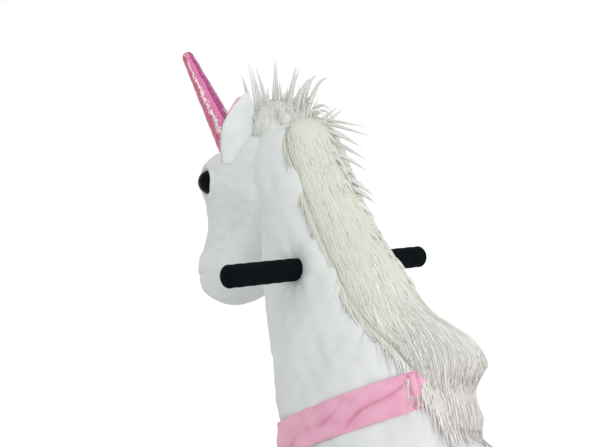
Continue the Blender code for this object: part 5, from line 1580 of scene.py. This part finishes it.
class RIDE_ON_OT_tail(bpy.types.Operator):
    """Adds the tail: locks round a hanging core"""

    bl_idname = "ride_on.tail"
    bl_label = "Tail"

    def execute(self, context):
        draw = np.random.default_rng(56)
        count = sizes().tail_locks
        thin = np.array([0.8, 1.0, 1.0, 1.0, 0.95, 0.85, 0.65, 0.4, 0.0])
        angle = draw.uniform(0, full_turn, (count, 1))
        depth = np.sqrt(draw.uniform(0.25, 1.0, (count, 1)))
        start = draw.uniform(0.0, 0.55, (count, 1)) ** 1.5
        end = np.clip(start + draw.uniform(0.45, 0.75, (count, 1)), 0, 1)
        step = start + (end - start) * np.linspace(0, 1, len(thin))[None]
        row = smooth(tail_knots, tail_rows, step)
        wave = 0.10 * np.sin(step * 9 + angle * 3)
        radius = row[..., 2] * depth * (0.93 + wave)
        paths = np.stack([radius * np.cos(angle), row[..., 0] + 0.92 * radius * np.sin(angle),
                          row[..., 1] + 0.2 * radius * np.sin(angle)], -1)
        ups = np.stack([np.cos(angle) + 0 * step, np.sin(angle) + 0 * step, 0 * step], -1)
        width = draw.uniform(0.0009, 0.0017, (count, 1)) * thin
        shade = np.clip(draw.normal(0.56, 0.16, count), 0, 1)
        locks = hair("tail_locks", paths, ups, width, shade, flatness=0.45)
        dress(locks, fur(), "chassis", ("tail",))
        self.add_core()
        return {"FINISHED"}

    def add_core(self):
        """The core under the locks: round rings of 0.8 times the tail's width along its middle line."""
        t = ring_angles(60)
        row = smooth(tail_knots, tail_rows, np.linspace(0.02, 0.93, 70)[:, None])
        radius = row[..., 2] * 0.80
        ahead = row[..., 0] + 0.92 * radius * np.sin(t)
        points = np.stack([radius * np.cos(t), ahead, row[..., 1] + 0 * t], -1)
        core = grid_object("tail_core", points, poles=end_middles(points))
        streak = 0.25 + 0.2 * np.sin(t * 30 + 8 * waves(points, 0.1, 65))
        add_attribute(core, "streak", streak, (0.2, 0.2))
        dress(core, close_fur(), "chassis")


# Metal, board and stage


class RIDE_ON_OT_metal(bpy.types.Operator):
    """Gives the frame's own pieces their painted, plated, moulded and wooden finishes"""

    bl_idname = "ride_on.metal"
    bl_label = "Frame and fittings"

    def execute(self, context):
        makers = {
            "painted_steel": (powder_coat,),
            "zinc_steel": (zinc_plate,),
            "grey_nylon": (moulded_plastic, "Moulded nylon", "#9EA1A6", "#8E9196", 0.5, 0.0008),
            "black_rubber": (soft_foam, "Buffer rubber", "#131517", "#1C1F21", 0.8, 0.0010),
            "birch_ply": (birch_plywood,),
        }
        for part in frame["record"]["subparts"]:
            node = frame["nodes"][part["node"]]
            if node.hide_render or part["material_slot"] not in makers:
                continue
            node.data.materials.clear()
            node.data.materials.append(material(*makers[part["material_slot"]]))
        return {"FINISHED"}


# The camera's place from the middle of the handles, and its aim, fitted to the two grips.
camera_behind = 1.1297
camera_left = 0.9479
camera_above = 0.1924
camera_pitch = math.radians(5.26)
camera_turn = math.radians(38.46)
camera_lens = 67.06


def look_at(item, spot, target):
    """Puts a camera or lamp into the scene at a spot in the frame, looking at a target."""
    bpy.context.scene.collection.objects.link(item)
    item.location = spot
    item.rotation_euler = (Vector(target) - Vector(spot)).to_track_quat("-Z", "Y").to_euler()


class RIDE_ON_OT_stage(bpy.types.Operator):
    """Adds the pale floor, the soft lights and the camera"""

    bl_idname = "ride_on.stage"
    bl_label = "Stage"

    def execute(self, context):
        scene = context.scene
        scene.view_settings.view_transform = "Standard"
        bpy.ops.mesh.primitive_plane_add(size=16.0, location=(0.0, 0.0, 0.0))
        floor = context.object
        floor.name = "white_floor"
        floor.data.materials.append(material(pale_floor))
        self.light_world(scene)
        self.add_lamp("Key softbox", (0.35, 2.5, 1.55), sizes().key_power, size=0.6)
        self.add_lamp("Fill softbox", (-2.0, -1.8, 2.0), sizes().fill_power, size=1.6)
        lens = bpy.data.cameras.new("Photo view")
        lens.lens = camera_lens
        lens.sensor_width = 36.0
        lens.clip_start = 0.02
        camera = bpy.data.objects.new("Photo view", lens)
        spot = np.array([camera_left, -camera_behind, handle_height + camera_above])
        look = np.array([-math.sin(camera_turn) * math.cos(camera_pitch),
                         math.cos(camera_turn) * math.cos(camera_pitch), -math.sin(camera_pitch)])
        look_at(camera, to_frame(spot), to_frame(spot + look))
        scene.camera = camera
        return {"FINISHED"}

    def light_world(self, scene):
        """An even pale sky; what the camera sees of it, directly or in a glossy piece, is white."""
        world = scene.world or bpy.data.worlds.new("Studio")
        scene.world = world
        world.use_nodes = True
        tree = world.node_tree
        tree.nodes.clear()
        inputs = {"Fac": any_ray(tree, "Is Camera Ray", "Is Glossy Ray", "Is Transmission Ray")}
        for place, strength in ((1, sizes().sky), (2, 1.0)):
            even = {"Color": linear("#FFFFFF"), "Strength": strength}
            inputs[place] = add_node(tree, "ShaderNodeBackground", even).outputs["Background"]
        mixed = add_node(tree, "ShaderNodeMixShader", inputs).outputs["Shader"]
        add_node(tree, "ShaderNodeOutputWorld", {"Surface": mixed})

    def add_lamp(self, name, spot, power, size):
        """A square soft lamp that looks at the middle of the handles."""
        lamp = bpy.data.lights.new(name, "AREA")
        lamp.energy = power
        lamp.size = size
        look_at(bpy.data.objects.new(name, lamp), spot, (0.0, axis_y, handle_height))


# The add-on


def colour(name, code, description):
    """A colour setting, kept as its sRGB hex code."""
    return bpy.props.StringProperty(name=name, default=code, description=description)


class RideOnSizes(bpy.types.PropertyGroup):
    """Sizes and counts that the user can change."""

    mane_depth: bpy.props.FloatProperty(
        name="Mane depth", description="Depth of the close fur", default=usual_depth,
        min=0.004, max=0.04, unit="LENGTH")
    mane_locks: bpy.props.IntProperty(
        name="Mane locks", description="Locks of hair on the neck's crest", default=5400, min=100, max=5700)
    tail_locks: bpy.props.IntProperty(
        name="Tail locks", description="Locks of hair in the tail", default=2600, min=100, max=4000)
    key_power: bpy.props.FloatProperty(
        name="Key light", description="Power of the lamp behind the rider, in watts", default=22.0, min=0.0)
    fill_power: bpy.props.FloatProperty(
        name="Fill light", description="Power of the large lamp ahead, in watts", default=4.0, min=0.0)
    sky: bpy.props.FloatProperty(
        name="Sky", description="Strength of the even light from all sides", default=0.77, min=0.0, max=2.0)


class RideOnLooks(bpy.types.PropertyGroup):
    """Colours that the user can change."""

    plush_colour: colour("Plush", "#EFF3F2", "Sheared pile of the body")
    fur_colour: colour("Fur", "#E0E2D5", "Long pile of mane and tail")
    satin_colour: colour("Satin", "#F9BCD4", "Band and saddle")
    satin_shade: colour("Satin shade", "#EFADC7", "Band and saddle where the dye is deeper")
    # The horn's colours are painted light: the lit pink, a warm reflection and painted shade.
    film_colour: colour("Film", "#E57FB0", "Horn, lit panel")
    film_warm_reflection: colour("Film, warm", "#D06080", "Horn, warm side")
    film_painted_shade: colour("Film, dark", "#A83C80", "Horn, dark panel")
    grip_colour: colour("Grips", "#080E12", "Foam of the grips")
    hoof_colour: colour("Hooves", "#E6DCCF", "Moulded hooves")


operators = (
    RIDE_ON_OT_coat, RIDE_ON_OT_head, RIDE_ON_OT_eyes, RIDE_ON_OT_horn, RIDE_ON_OT_ears, RIDE_ON_OT_band,
    RIDE_ON_OT_saddle, RIDE_ON_OT_legs, RIDE_ON_OT_hooves, RIDE_ON_OT_tyres, RIDE_ON_OT_footrests,
    RIDE_ON_OT_grips, RIDE_ON_OT_mane, RIDE_ON_OT_tuft, RIDE_ON_OT_tail, RIDE_ON_OT_metal, RIDE_ON_OT_stage,
)


class RIDE_ON_PT_panel(bpy.types.Panel):
    """Lists the settings and the pieces in the 3D view's sidebar."""

    bl_idname = "RIDE_ON_PT_panel"
    bl_label = "Ride-on"
    bl_space_type = "VIEW_3D"
    bl_region_type = "UI"
    bl_category = "Ride-on"

    def draw(self, context):
        for group in (context.scene.ride_on_sizes, context.scene.ride_on_looks):
            for name in group.__annotations__:
                self.layout.prop(group, name)
        for operator in operators:
            self.layout.operator(operator.bl_idname)


def register():
    for kind in (RideOnSizes, RideOnLooks, *operators, RIDE_ON_PT_panel):
        bpy.utils.register_class(kind)
    bpy.types.Scene.ride_on_sizes = bpy.props.PointerProperty(type=RideOnSizes)
    bpy.types.Scene.ride_on_looks = bpy.props.PointerProperty(type=RideOnLooks)


def unregister():
    del bpy.types.Scene.ride_on_looks
    del bpy.types.Scene.ride_on_sizes
    for kind in (RIDE_ON_PT_panel, *reversed(operators), RideOnLooks, RideOnSizes):
        bpy.utils.unregister_class(kind)


def main():
    register()
    for operator in operators:
        group, name = operator.bl_idname.split(".")
        getattr(getattr(bpy.ops, group), name)()


if __name__ == "__main__":
    main()
